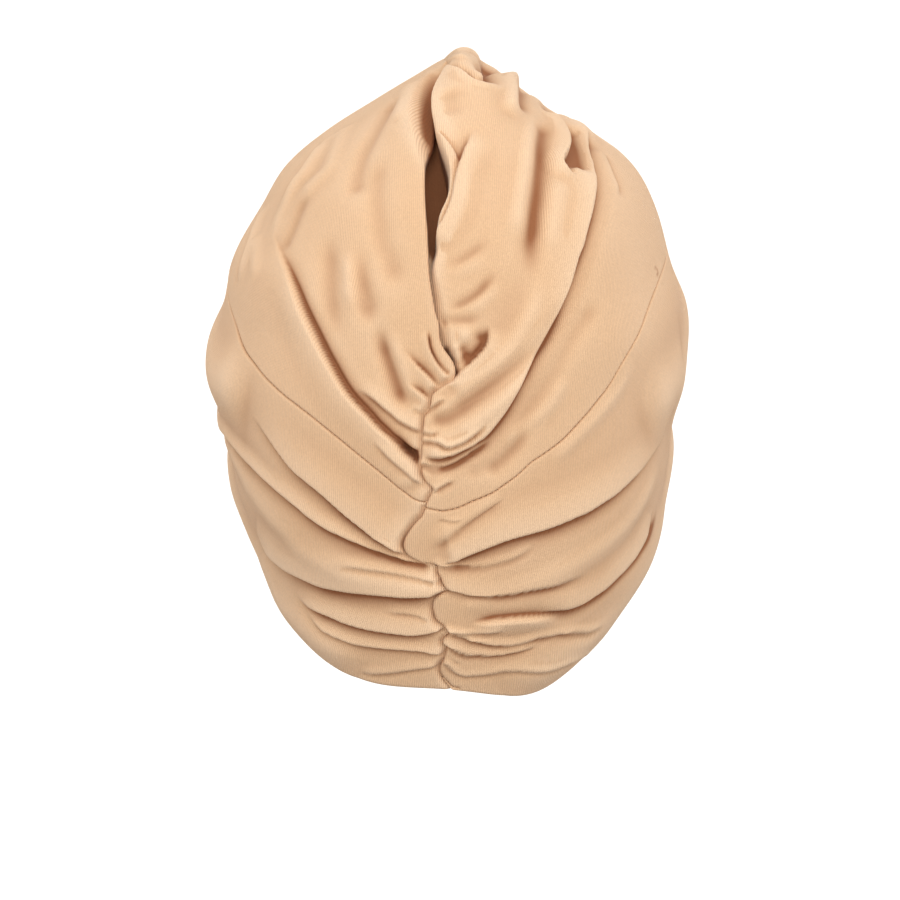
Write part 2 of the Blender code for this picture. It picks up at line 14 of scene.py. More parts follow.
import bpy
import numpy as np
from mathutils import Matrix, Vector


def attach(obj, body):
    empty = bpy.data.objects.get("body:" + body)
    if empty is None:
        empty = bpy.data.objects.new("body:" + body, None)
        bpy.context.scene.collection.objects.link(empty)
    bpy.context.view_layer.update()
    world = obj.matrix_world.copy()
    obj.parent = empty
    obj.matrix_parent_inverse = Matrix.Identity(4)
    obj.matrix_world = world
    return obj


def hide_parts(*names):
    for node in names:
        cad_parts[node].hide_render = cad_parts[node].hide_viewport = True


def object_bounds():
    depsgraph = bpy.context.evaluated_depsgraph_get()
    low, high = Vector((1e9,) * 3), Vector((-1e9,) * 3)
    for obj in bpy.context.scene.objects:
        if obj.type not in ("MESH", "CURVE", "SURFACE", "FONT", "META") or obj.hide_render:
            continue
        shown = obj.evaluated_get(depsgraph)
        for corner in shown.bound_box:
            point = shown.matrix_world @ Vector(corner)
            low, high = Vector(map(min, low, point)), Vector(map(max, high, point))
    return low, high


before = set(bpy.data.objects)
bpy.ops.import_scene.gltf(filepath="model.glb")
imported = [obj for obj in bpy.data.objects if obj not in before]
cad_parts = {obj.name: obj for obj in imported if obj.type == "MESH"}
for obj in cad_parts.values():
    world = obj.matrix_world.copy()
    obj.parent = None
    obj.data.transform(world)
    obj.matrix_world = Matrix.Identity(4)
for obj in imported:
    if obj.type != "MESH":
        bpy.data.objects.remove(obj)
CAD_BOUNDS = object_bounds()

bl_info = {
    "name": "Turban Hat",
    "version": (1, 0, 0),
    "blender": (4, 5, 0),
    "location": "View3D > Sidebar > Turban",
    "description": "Builds a pre-tied jersey turban over its packed model",
    "category": "Add Mesh",
}

MM = 0.001
BODY = "root"

# The back view that the lines were charted in
VIEW_TILT = math.radians(12)
NAPE_DEPTH = 80.0
SEAT_HEIGHT = 44.0

# The rim is a tilted plane that rises to the forehead, and sits a little lower on the right. It is looked
# for in the lowest share of the cloth.
RIM_RISE = 0.51
RIM_LEAN = 0.035
RIM_DIP = 1.2
RIM_SHARE = 0.6

# The rim hangs lower on each side of the nape: how far across to the left, how much, and how wide. The
# sag starts in front of the middle, at this share of the nape's depth.
RIM_SAGS = ((-38.0, 11.4, 24.0), (40.0, 5.8, 24.0))
RIM_SAG_START = 0.2

# How far the form runs on below its lowest section, and how square its level sections are, where 2 is an
# ellipse
FORM_RUN_ON = 30.0
SECTION_ROUNDNESS = 2.2

# Level sections of the smooth form under the folds: how far it reaches to each side from the centre
Section = namedtuple("Section", "height left right back front")
SECTIONS = (
    Section(0, 64, 64, 78, 96),
    Section(20, 69, 72, 88, 97),
    Section(41, 74, 81.5, 95.5, 98),
    Section(64, 83, 86.5, 101, 99),
    Section(80, 86.5, 89.5, 103.5, 100),
    Section(100, 90.5, 91.5, 104.5, 101),
    Section(120, 92, 93, 103.5, 101),
    Section(140, 89.5, 94.5, 100.5, 100),
    Section(160, 85.5, 90, 95.5, 96),
    Section(180, 74.5, 84.5, 87.5, 89),
    Section(195, 65.5, 76.5, 78.5, 81),
    Section(208, 50.5, 61.5, 66.5, 70),
    Section(220, 32, 42.5, 54, 58),
    Section(231, 15, 29, 37, 41),
    Section(238, 2.5, 17, 18, 30),
    Section(241, -6, 6, -8, 8),
)

# Stitched seams between band and crown: first across the back view, then round the side and front
LEFT_SEAM_SEEN = (
    (3, 70.5), (-9.2, 75), (-15.6, 78.4), (-28.4, 88.8), (-41, 99), (-53.6, 109.2), (-66.4, 119.2),
    (-76, 129.6), (-83, 142.4),
)
LEFT_SEAM_AROUND = ((-92, 152), (-120, 172), (-150, 188), (-184, 196))
RIGHT_SEAM_SEEN = (
    (-8.3, 72.8), (-3, 71.8), (0, 71.8), (5, 73), (10, 75.3), (15, 77.3), (20, 79.8), (28, 85.5),
    (34, 91), (40, 95), (47, 100.5), (55, 109), (60, 115), (65, 121.5), (70, 130), (75, 138.5), (80, 150),
)
RIGHT_SEAM_AROUND = ((88, 165), (115, 180), (145, 190), (176, 196))
FRONT_MEETING = RIGHT_SEAM_AROUND[-1]

# Back edges of the bands. The right one lies on top, with a nick where each crease meets it.
RIGHT_BAND_BACK = (
    (5, -0.5), (2.6, 1), (1, 2.5), (-1.5, 5.5), (-2.5, 9), (-0.7, 12), (-0.3, 14.3), (0, 17), (-1.2, 18.5),
    (-1.3, 20), (0.2, 20.8), (1, 22.5), (0.3, 23.8), (-1, 25.5), (-4, 28), (-5, 31), (-5.5, 34),
    (-4.5, 36.5), (-2.5, 38), (0, 39), (1.4, 39.8), (0, 40.8), (-1.7, 43), (-2, 44.3), (-3, 46),
    (-3.7, 48.3), (-3.6, 50), (-5.5, 50.4), (-9, 50.6), (-13, 52.3), (-16, 54.5), (-17.2, 57.5),
    (-16.5, 60.5), (-14, 64.5), (-11, 68), (-9.5, 69.5),
)
LEFT_BAND_BACK = ((11, 0), (10, 15), (9, 30), (10, 45), (6, 58), (3, 68))

# Centre edges of the crowns, from the back seam over the top to the front seam. They cross at one
# point: below it the right crown lies over the left one, and above it the left over the right.
RIGHT_CROWN_SEEN = (
    (-7, 76), (-5.5, 79), (-5, 80.3), (-8, 83), (-9.5, 86), (-10.3, 90), (-9.8, 93), (-9.6, 97),
    (-9.3, 102), (-9, 106), (-8.5, 110), (-7, 111.5), (-6, 114), (-5.8, 117), (-4.5, 119), (-2.3, 120.5),
    (0, 122), (3.3, 124.2), (-1, 125.2), (-7, 129), (-14, 138), (-18, 152), (-20, 170), (-20, 192),
    (-19.5, 207), (-18, 218), (-15.5, 228), (-13.5, 236), (-11.5, 242.5), (-8.5, 247), (-5, 250.3),
)
CROSSING_POINT = 17
LEFT_CROWN_SEEN = (
    (4, 80), (3, 92), (2.6, 104), (2.6, 114), (3, 120), (3.6, 124.6), (3.8, 127), (3.2, 130),
    (1.5, 133), (-0.3, 135.3), (-1.8, 138), (-2.6, 141), (-2.6, 144), (-3.1, 147), (-4.2, 150.5),
    (-5.2, 156), (-6.2, 162), (-6.9, 168), (-7.2, 175), (-7.7, 185), (-8.5, 195), (-8.8, 205),
    (-8.8, 212), (-8.6, 216), (-8, 222), (-8.2, 228), (-8.7, 235), (-8.1, 240), (-6.6, 244.6), (-4, 248.4),
    (-1.5, 251),
)
LEFT_CROWN_OVER = ((260, 239.6), (215, 239))
RIGHT_CROWN_OVER = ((258, 238.6), (215, 238.2))
CROWN_FRONT_AROUND = ((184, 236), (180, 226), (177, 210))
FRONT_LINE_AROUND = ((186, 90), (184, 110), (180, 132), (175, 155), (174, 178))

# How finely each sheet is divided: strips round the head and rows up the cloth. Strips crowd toward the
# centre back, and the inner wall has one cell for several of the outer one's.
BAND_STRIPS, BAND_ROWS = 360, 150
CROWN_STRIPS, CROWN_ROWS = 336, 252
INNER_STEP = 6
BACK_CROWDING = 0.55
# How fast a grid forgets the bends of its end edges, and how near its corners they are pinned
EDGE_STRAIGHTENING = 3
CORNER_SHARPNESS = 8
# The shares of a crown's centre edge between which it runs over the top, and over which its gap opens
TOP_START, TOP_END = 0.52, 0.72
GAP_OPENING = 0.15
# How often the relief is drawn toward its neighbours
EVENING_PASSES = 1

# How finely curves are followed, and how many parts of a line are looked at together
LINE_SPACING = 1.6
LINE_STEPS = 12
STRETCH = 12
ROUND_STEPS = 600
LEVEL_STEPS = 900
NORMAL_STEP = 0.4
HALVINGS = 40
SMALLEST = 1e-6

# How far cloth looks for the edge that covers it or for the pocket's line, and how much further than its
# own reach a lap or a rolled edge looks for cloth
EDGE_REACH = 60.0
FOLD_MARGIN, ROLL_MARGIN = 2.0, 1.0


class Fold(namedtuple("Fold", "sheet bulge rise drop reach low roll fades path around")):
    """A lap: cloth on the bulging side rolls over a crease and hides where the low side runs in.

    The bulge rises at the crease and slopes off over its reach, and the low side drops and comes up again
    over its own width. The fades are the lengths over which the path's ends die away, and 0 is a whole end.
    """


class Ripple(namedtuple("Ripple", "sheet height width fades path around", defaults=((),))):
    """A soft ridge, or a soft valley where the height is negative."""


def fold(sheet, bulge, rise, drop, reach, low, fades, path, roll=1.1, around=()):
    """A lap with the usual roundness of its roll."""
    return Fold(sheet, bulge, rise, drop, reach, low, roll, fades, path, around)


BL, BR, CL, CR = "left band", "right band", "left crown", "right crown"

# The laps of each sheet. A path is charted on the back view, and where it has an "around" it goes on
# round the head.
LEFT_BAND_FOLDS = (
    fold(BL, "above", 2.6, 3.2, 18, 10, (45, 0), (
        (-79, 112), (-75, 106), (-70, 99), (-66, 94), (-60, 87.2), (-50, 79), (-40, 70), (-30, 62),
        (-25, 58.8), (-20, 56), (-17, 54), (-12, 51.5), (-9, 50))),
    fold(BL, "above", 2.2, 2.8, 9, 10, (0, 60), (
        (-1, 50.3), (-4, 49.9), (-9, 49.7), (-14, 50.3), (-20, 52.3), (-30, 56), (-40, 60.5), (-50, 65.5),
        (-60, 73.5), (-70, 82), (-78, 90), (-82, 94.5), (-86, 100)), roll=1.4,
        around=((-83, 93.5), (-100, 98), (-120, 108), (-145, 124), (-180, 146))),
    fold(BL, "above", 1.0, 1.2, 6, 5, (14, 0), (
        (-45, 50), (-40, 50), (-30, 48.5), (-20, 46.7), (-12, 45), (-6, 44), (-2, 43.8))),
    fold(BL, "above", 3.2, 3.2, 20, 12, (0, 26), (
        (1, 39.5), (-2, 38.3), (-5, 37.5), (-13, 37.2), (-20, 37.5), (-30, 38.5), (-40, 39.6), (-50, 41.8),
        (-60, 46.4), (-66, 50.6), (-71, 55.4), (-75, 61), (-77.5, 66)), roll=1.4),
    fold(BL, "above", 2.0, 2.0, 16, 10, (24, 60), (), around=(
        (-70, 38), (-80, 50), (-95, 65), (-120, 88), (-150, 106), (-182, 120)), roll=4),
    fold(BL, "above", 0.8, 0.8, 6, 5, (8, 8), (
        (-26, 31.5), (-20, 30.5), (-12, 29.7), (-8, 28.5), (-4, 27.5))),
    fold(BL, "above", 2.4, 2.6, 12, 8, (18, 0), (
        (-60, 38), (-55, 33.5), (-50, 31), (-45, 29), (-40, 26.8), (-35, 25.2), (-30, 24), (-25, 23.2),
        (-20, 22.6), (-14, 22), (-8, 22.6), (-3, 23.8), (0, 24))),
    fold(BL, "above", 1.6, 1.6, 6, 8, (18, 0), (
        (-57, 33), (-50, 25.5), (-45, 22.5), (-40, 20), (-35, 18), (-30, 17), (-25, 16.4), (-20, 16),
        (-14, 15.6), (-10, 15.3), (-5, 14.3), (-0.7, 14.3))),
    fold(BL, "above", 1.0, 1.0, 6, 5, (10, 0), (
        (-36, 6.8), (-30, 6), (-25, 6.2), (-20, 6.7), (-14, 7.7), (-8, 8.5), (-3, 9.3))),
)

RIGHT_BAND_FOLDS = (
    fold(BR, "above", 2.8, 3.0, 20, 12, (6, 70), (
        (-1, 50.4), (4, 51.6), (10, 54.2), (17, 57), (25, 60), (33, 62.3), (40, 64.3), (47, 67),
        (55, 70.5), (62, 74.5), (68, 78.5), (75, 84.5), (80, 90), (85, 98), (88, 108)), roll=1.4),
    fold(BR, "above", 2.2, 2.4, 20, 12, (50, 0), (), around=(
        (92, 108), (120, 124), (150, 138), (178, 146)), roll=1.4),
    fold(BR, "above", 1.0, 1.0, 5, 5, (0, 10), (
        (-3.2, 49.8), (-0.5, 49.2), (5, 49.3), (12, 49), (18, 49.8), (25, 51.5), (30, 54), (38, 58.5))),
    fold(BR, "above", 1.5, 1.8, 10, 6, (0, 24), (
        (1.4, 39.8), (5, 39), (8, 38.2), (12, 37.8), (19, 37.6), (28, 38.5), (41, 41), (50, 44),
        (58, 47))),
    fold(BR, "below", 2.2, 2.0, 10, 6, (10, 16), (
        (9, 26.5), (15, 27.6), (22, 28.6), (30, 29.3), (38, 29.8), (46, 31.2), (52, 33.4)), roll=1.4),
    fold(BR, "above", 2.2, 4.6, 16, 9, (18, 16), (
        (34, 29.6), (38, 29.8), (46, 31.2), (51, 33.2), (56, 35.8), (60.6, 38.4), (64.4, 41.4), (68, 44.8),
        (71.2, 48), (74, 51.4), (76.2, 54.8), (79.2, 60.6), (81.6, 67), (83.4, 73)), roll=1.6),
    fold(BR, "above", 1.6, 1.6, 14, 8, (24, 30), (), around=(
        (84, 52), (92, 66), (108, 81), (130, 98), (155, 112), (178, 120)), roll=4),
    fold(BR, "above", 1.2, 1.2, 4, 4, (0, 6), (
        (0.5, 23.8), (2, 23.3), (8.4, 22.6), (15.8, 22.9), (24.4, 23.8))),
    fold(BR, "above", 1.6, 1.6, 5, 6, (0, 14), (
        (1.5, 23), (2.8, 22), (10.6, 19.4), (18.4, 17.9), (27, 18.1), (36.6, 20.7), (45.3, 22.5),
        (55, 23.8), (62, 27))),
    fold(BR, "above", 1.6, 2.0, 5, 6, (0, 10), (
        (0, 17.8), (5.4, 14.7), (10.6, 13.6), (19.3, 13.4), (25.8, 14.4), (32.3, 16.4), (38, 18))),
    fold(BR, "above", 0.8, 1.0, 3, 3, (0, 3), ((1, 13.5), (3, 11.8), (6.3, 9.9))),
    fold(BR, "above", 1.2, 1.0, 5, 5, (0, 14), (
        (0, 10), (2, 8), (4, 6.5), (6.3, 5.6), (10, 5.5), (19.3, 6.6), (36.6, 8.6), (47.5, 11.6),
        (56, 14))),
    fold(BR, "above", 1.5, 1.0, 8, 8, (6, 8), (
        (-5, 56.5), (0, 60), (5, 64), (12, 69), (18, 73), (24, 77)), roll=4),
    fold(BR, "above", 0.5, 0.6, 3, 3, (3, 3), ((-4, 68.5), (2, 67.5), (7, 68))),
)

LEFT_CROWN_FOLDS = (
    fold(CL, "below", 2.2, 4.2, 16, 8, (55, 0), (
        (-69, 184), (-66.5, 176), (-63, 168), (-60, 160), (-57, 152), (-53, 143.5), (-49, 135.5),
        (-45, 128.5), (-41, 121.5), (-38, 117.3), (-35, 114), (-31, 110), (-27, 105.5), (-22, 101),
        (-18, 97.3), (-15, 94), (-13, 92), (-11, 88.5), (-10, 86)), roll=1.6),
    fold(CL, "above", 1.0, 2.4, 5, 4, (6, 0), ((-20, 99), (-17, 97), (-14, 95.8), (-11, 95.4))),
    fold(CL, "above", 1.5, 1.8, 8, 6, (10, 0), (
        (-37, 119.5), (-33, 118.3), (-29, 115.8), (-25, 112.3), (-22, 110), (-19, 107.3), (-15, 105),
        (-12, 103.6), (-9.5, 103))),
    fold(CL, "above", 1.0, 1.0, 5, 5, (10, 0), (
        (-30, 101), (-26, 96.5), (-22, 92.2), (-18, 88.8), (-15, 86.3), (-12, 83.8), (-8, 81.3),
        (-5, 80.3))),
    fold(CL, "below", 1.2, 2.6, 6, 5, (12, 0), (
        (-17, 136.6), (-14.6, 133.6), (-12, 130.5), (-9, 127.5), (-6, 124.5), (-4, 122), (-2.2, 120.8))),
    fold(CL, "below", 1.2, 2.8, 5, 4, (8, 0), (
        (-16, 123.4), (-13, 121), (-10, 119), (-8, 117.3), (-6, 115.8))),
    fold(CL, "above", 0.7, 0.8, 4, 4, (3, 0), ((-14, 112.3), (-12, 111.8), (-10, 110.5), (-8.7, 109.6))),
    fold(CL, "right", 1.6, 1.8, 12, 10, (10, 12), (
        (-46, 223), (-51, 217), (-55, 211.5), (-59, 206), (-63, 200.5), (-67, 195)), roll=3),
    fold(CL, "right", 1.8, 2.0, 12, 10, (8, 12), (
        (-73, 194), (-75, 189.5), (-77.5, 184), (-79.5, 178), (-81.5, 172), (-83, 167), (-84, 160)),
        roll=3),
    fold(CL, "left", 1.0, 2.8, 5, 2.4, (5, 1), (
        (-7.4, 144), (-7, 140), (-6.2, 136), (-3.9, 131.3), (-1, 127.5), (1.4, 125.4)), roll=0.9),
)

RIGHT_CROWN_FOLDS = (
    fold(CR, "above", 3.0, 2.5, 22, 14, (16, 6), (
        (56, 224), (57, 220), (58, 215), (59.2, 210), (59.6, 205), (59.7, 200), (59, 195), (58, 190),
        (56, 183), (54.5, 177), (52.5, 172), (50.5, 165), (48, 158), (45, 150.5), (41.5, 143.5), (38.5, 138),
        (35.8, 133.3), (33.6, 128.8), (30.5, 122.7), (27.6, 117.3), (25.2, 113), (22.8, 109.3),
        (19.5, 105), (16.3, 101.3), (13, 98.9), (9.6, 96.8), (6, 95), (2.8, 93.6), (-0.5, 92.7),
        (-3.7, 92.4), (-7, 92.8), (-9.7, 93.3)), roll=1.4),
    fold(CR, "left", 2.6, 4.6, 9, 14, (6, 5), (
        (41.5, 231.5), (44.5, 228), (47, 225), (49, 221), (49.6, 217.5), (49, 214.5), (47.5, 212.3),
        (46.7, 210), (47.5, 208.5), (49.5, 206.5), (51.5, 205.5))),
    fold(CR, "left", 1.0, 1.0, 8, 7, (8, 8), (
        (64, 216), (66, 211), (67.8, 206), (69.5, 201), (69.5, 196)), roll=4),
    fold(CR, "below", 1.2, 4.5, 8, 5, (8, 4), (
        (-1, 250.4), (4, 249.6), (7.2, 248.4), (11.6, 244.8), (16, 243.6), (20.8, 243.2))),
    fold(CR, "left", 1.2, 1.6, 6, 5, (5, 4), (
        (-7.2, 232), (-5.2, 226), (-0.4, 220.8), (3.6, 215.3), (5.2, 210.8))),
    fold(CR, "right", 3.0, 1.5, 12, 6, (12, 6), (
        (11, 224), (9.6, 220.8), (6.3, 213.3), (4.3, 207.3), (2.9, 201.3), (1.6, 194.8), (-1.2, 188),
        (-4.4, 182.8), (-5.6, 176))),
    fold(CR, "below", 2.0, 4.4, 14, 8, (0, 10), (
        (3, 125), (7, 128.3), (10, 131), (13.6, 134.8), (15.6, 137.4), (16.6, 141), (17.2, 146))),
    fold(CR, "above", 1.0, 2.2, 4, 3, (0, 4), ((-8.6, 110.5), (-5.6, 112.6), (-2.4, 114.8), (1, 116))),
    fold(CR, "above", 1.2, 2.4, 4, 3, (0, 4), ((-9.2, 102.4), (-5.2, 102), (-2, 104))),
    fold(CR, "above", 1.4, 3.0, 4, 3.4, (0, 8), (
        (-9.2, 99.3), (-3.7, 98.8), (0.8, 96.8), (6.8, 98.8), (12.3, 102.8), (16, 107))),
    fold(CR, "above", 1.4, 3.0, 4, 4, (0, 10), (
        (-9.2, 90), (-3.7, 88.8), (1.6, 89.3), (6.8, 92), (10.8, 94.8), (14.8, 97.3), (19, 100))),
    fold(CR, "above", 1.2, 1.6, 5, 4, (0, 4), ((-3, 80.2), (0, 82), (4, 84))),
)

FOLDS = LEFT_BAND_FOLDS + RIGHT_BAND_FOLDS + LEFT_CROWN_FOLDS + RIGHT_CROWN_FOLDS

# Soft ridges and valleys: sheet, height, width, fades at the two ends, and the path seen and around
RIPPLES = (
    Ripple(BL, 5.0, 13, (20, 40), ((-78, 116), (-90, 124)), ((-95, 120), (-120, 130), (-150, 148))),
    Ripple(CL, 2.6, 12, (20, 40), ((-86, 140), (-91, 136)), ((-95, 134), (-120, 150))),
    Ripple(BL, 1.6, 6, (30, 40), (
        (-14, 43.5), (-30, 46), (-44, 50), (-56, 56), (-66, 65), (-75, 76), (-82, 88)), (
        (-95, 88), (-120, 104))),
    Ripple(BL, 3.2, 10, (20, 30), ((-30, 10), (-50, 20), (-64, 34)), ((-72, 40), (-90, 54), (-120, 78))),
    Ripple(BR, 3.4, 12, (24, 30), ((18, 4), (40, 10), (58, 22), (70, 36)), ((75, 43), (95, 62), (125, 88))),
    Ripple(BR, 4.2, 14, (20, 30), ((78, 105), (90, 124)), ((85, 118), (120, 134))),
    Ripple(BR, 1.4, 5, (30, 20), (
        (20, 42), (35, 45), (50, 50), (62, 57), (72, 66), (80, 78), (86, 92))),
    Ripple(CR, 3.0, 9, (6, 20), (), ((150, 240), (175, 240), (195, 238))),
    Ripple(CL, 3.0, 9, (6, 20), (), ((-165, 240), (-185, 240), (-205, 238))),
    Ripple(BR, 0.7, 3, (4, 6), ((6, 33.5), (10.6, 34.4), (21.5, 37))),
    Ripple(BR, 1.0, 3, (10, 20), (
        (40, 91), (45, 94), (50, 99), (55, 104), (60, 109), (65, 115), (70, 122), (76, 134))),
    Ripple(CL, -4.0, 1.8, (10, 2), ((-22, 102), (-19, 98.8), (-15.4, 95.4), (-12.4, 92.8), (-10.4, 90))),
    Ripple(CL, -3.2, 3.2, (14, 10), (
        (-28, 148), (-25.5, 138), (-22.8, 130), (-20, 122), (-17, 114.6), (-15, 110))),
    Ripple(CL, 1.2, 3, (10, 8), ((-22, 144), (-19.6, 134), (-15.6, 124), (-12, 115))),
    Ripple(CL, -2.0, 5.0, (16, 20), ((-48, 184), (-46.5, 168), (-46, 156), (-44, 146), (-40, 136))),
    Ripple(CL, -2.6, 4.4, (24, 12), ((-36, 182), (-34, 166), (-31.2, 152), (-29, 142))),
    Ripple(CL, -2.0, 5, (14, 12), (
        (-27, 215), (-28, 195), (-26, 180), (-23, 172), (-20, 163), (-18, 158))),
    Ripple(CL, -2.2, 4.5, (10, 10), (
        (-20, 238), (-28, 225), (-34, 212), (-36, 203), (-35, 195))),
    Ripple(CL, 1.6, 3, (10, 10), ((-39.5, 176), (-38.5, 164), (-37.5, 150))),
    Ripple(CL, 1.2, 4, (6, 6), ((-16, 243), (-18, 236), (-18, 228))),
    Ripple(CL, 1.4, 4, (8, 10), (
        (-40, 226), (-44, 217), (-46, 210), (-50, 205), (-55, 200), (-58, 192))),
    Ripple(CL, 1.2, 4, (8, 10), (
        (-48, 219), (-55, 208), (-60, 202), (-64, 195), (-67, 188), (-70, 178))),
    Ripple(CL, 1.0, 4, (8, 8), ((-76, 182), (-76, 163))),
    Ripple(CL, -1.2, 4, (8, 6), ((-54, 201), (-60, 188), (-66, 174))),
    Ripple(CR, 1.6, 5.5, (5, 8), ((3.5, 252.6), (6, 253.8)), ((180, 239), (180, 236))),
    Ripple(CR, -2.6, 10, (10, 14), (), (
        (158, 237), (140, 233), (130, 227), (128, 220), (125, 212), (118, 206), (108, 200))),
    Ripple(CR, -5.6, 4.0, (5, 10), ((14, 246.8), (17, 246)), (
        (98, 238), (125, 237.5), (150, 236.5), (162, 233))),
    Ripple(CR, 3.4, 3.4, (8, 10), ((25.4, 229), (26, 236), (26.4, 241)), (
        (88, 232.6), (115, 232), (138, 230), (148, 226))),
    Ripple(CR, -2.4, 3.6, (12, 10), ((30.8, 230), (31.2, 235)), (
        (86, 229), (112, 228.5), (132, 226.5), (142, 222))),
    Ripple(CR, -2.8, 3.0, (8, 10), ((44, 228), (43.5, 231)), (
        (85, 221), (110, 219), (127, 217), (140, 211))),
    Ripple(CR, -3.2, 4.6, (8, 8), ((50, 226), (53, 219), (54.6, 212), (54, 205))),
    Ripple(CR, 2.2, 6, (10, 14), ((57, 219), (55, 225)), ((80, 214), (105, 210))),
    Ripple(CR, -1.8, 6.5, (8, 10), ((1, 242), (1.5, 236), (4, 227))),
    Ripple(CR, -3.4, 4.4, (14, 26), (
        (38.5, 230), (38.4, 220), (38, 210), (36.4, 196), (35, 184), (34, 176), (34, 166), (35, 160))),
    Ripple(CR, 1.8, 3.6, (10, 12), ((38, 230), (34, 220), (31.5, 205), (29, 190), (28, 178))),
    Ripple(CR, 1.4, 4, (10, 12), ((45, 205), (43.5, 195), (41.5, 183), (40.5, 172))),
    Ripple(CR, -1.0, 2.2, (10, 8), ((19, 180), (14, 177), (9, 173.5), (4, 170.5), (-1.5, 168.5))),
    Ripple(CR, 0.7, 2.6, (8, 8), ((17, 173), (12, 169.5), (7, 167), (1, 165))),
    Ripple(CR, -1.5, 2.1, (10, 8), (
        (20.5, 168), (17, 163), (13, 158.5), (8.8, 155.4), (4, 153), (-1, 151.4))),
    Ripple(CR, 0.9, 2.6, (8, 8), ((22, 163), (17.6, 157.6), (12, 153), (6, 150.4))),
    Ripple(CR, -1.4, 2.4, (2, 8), ((-2.5, 146), (3, 147.4), (10, 147.6), (16, 149))),
    Ripple(CR, 1.4, 3, (3, 3), ((4, 141), (11, 142))),
    Ripple(CR, -1.8, 2.2, (2, 2), ((-1.4, 137), (0.6, 133.8), (2.2, 130.6), (3.4, 127.8))),
    Ripple(CR, 1.4, 1.4, (2, 2), ((2.8, 138), (4.6, 135), (5, 131.6), (4.6, 128.4))),
    Ripple(CR, -2.0, 2.2, (2, 3), ((5.4, 138), (7.4, 134.4), (9, 131))),
    Ripple(CR, -1.2, 2.4, (3, 3), ((12.2, 144), (13.6, 141), (14, 138))),
    Ripple(CR, -1.2, 4, (10, 6), (
        (61.6, 156), (52, 142), (46, 131), (41, 122), (32, 108), (28, 97), (22, 90), (15, 86))),
    Ripple(CR, 1.0, 3, (8, 8), ((48.8, 125.6), (42, 115), (36, 109), (28, 102), (22, 97))),
    Ripple(CR, 1.5, 3.2, (16, 5), (
        (38, 165), (34, 152), (28, 140.5), (23.4, 133.5), (17.3, 127.4), (5.8, 118.2),
        (0.4, 113.6), (-5, 112))),
    Ripple(CR, -1.8, 3.4, (16, 5), (
        (48, 158), (41, 144), (35.8, 136), (23.4, 125.6), (12.7, 117), (1.9, 108.6), (-7.3, 106.6))),
    Ripple(CR, 1.2, 3, (10, 6), ((33.4, 127), (23.4, 117), (12.7, 108.4), (3, 102.8))),
    Ripple(CR, -0.8, 3, (4, 8), ((7, 85.5), (15, 88), (20, 90), (28, 97), (33, 106))),
)

# The pocket between the crowns: how deep the right crown lies left of the line, and how wide its slope
# is. A share of the slope lies left of the line.
StepRow = namedtuple("StepRow", "across up depth slope")
POCKET = (
    StepRow(0, 252, 1.5, 4), StepRow(-3.5, 248, 5, 4), StepRow(-7.6, 240, 9, 3), StepRow(-8.4, 236, 12, 3),
    StepRow(-7.2, 227.4, 16, 2.6), StepRow(-4.4, 220, 19, 2.6), StepRow(-1.7, 212.8, 21, 2.6),
    StepRow(-0.4, 206.8, 21, 2.6), StepRow(-1.2, 198.8, 21, 2.6), StepRow(-4.4, 190.8, 19, 2.6),
    StepRow(-5.4, 184, 16, 2.6), StepRow(-5.4, 176, 10, 3), StepRow(-6.4, 168, 4.5, 3),
    StepRow(-5, 156, 3.6, 5), StepRow(-2.6, 143, 3.6, 6), StepRow(0, 134, 4.2, 5), StepRow(3, 125.5, 5, 5),
)
POCKET_SLOPE_PAST = 0.15
POCKET_FADES = (8.0, 3.0)

# Near its upper edge the left crown dips toward the pocket, right of this line
LEFT_DIP = (
    StepRow(-4, 251, 1.5, 6), StepRow(-9, 245, 6, 7), StepRow(-12.5, 235, 9, 7),
    StepRow(-11.5, 225, 9, 6), StepRow(-10.5, 217, 5, 5), StepRow(-9.5, 210, 0, 4),
)
DIP_SLOPE_PAST = 0.5
DIP_FADES = (6.0, 4.0)

# Where the left sheets are tucked in under the right ones: how deep, over how wide a slope, and over
# how much of the edge's end the tuck fades
TUCK_DEPTH, TUCK_SLOPE, TUCK_FADE = 2.2, 3.0, 7.0
# How much deeper they go under the right sheets, and over what distance
TUCK_MORE, TUCK_RUN = 2.8, 5.0

# The right sheets stay above the tucked cloth: the lowest that they lie near their edge, and elsewhere
EDGE_HELD, EDGE_LOWEST, FOLD_LOWEST = 10.0, -1.2, -6.0

# Over how much of its path a fold rounds off past an end that has no fade, and how many of its widths
# a ripple reaches
FOLD_ROUND_END = 5.0
RIPPLE_REACH = 2.6

# Painted shade in creases: how far round a point is looked, in cells, how much lower the point is where
# the painted shade is full, and the share of the whole painted shade
Shade = namedtuple("Shade", "cells depth share")
SHADES = (Shade(2, 1.1, 0.5), Shade(7, 2.1, 0.55), Shade(20, 3.8, 0.6))
# Less than this counts as no painted shade
LEAST_SHADE = 0.02
# How far below the smooth form the pocket's painted shade starts and is full
SHADE_FROM, SHADE_FULL = 6.0, 15.0
# Painted highlight on ridges: how far round a ridge is looked, and how much higher it is where the
# painted highlight is palest
RIDGE_CELLS, RIDGE_HEIGHT = 12, 2.0

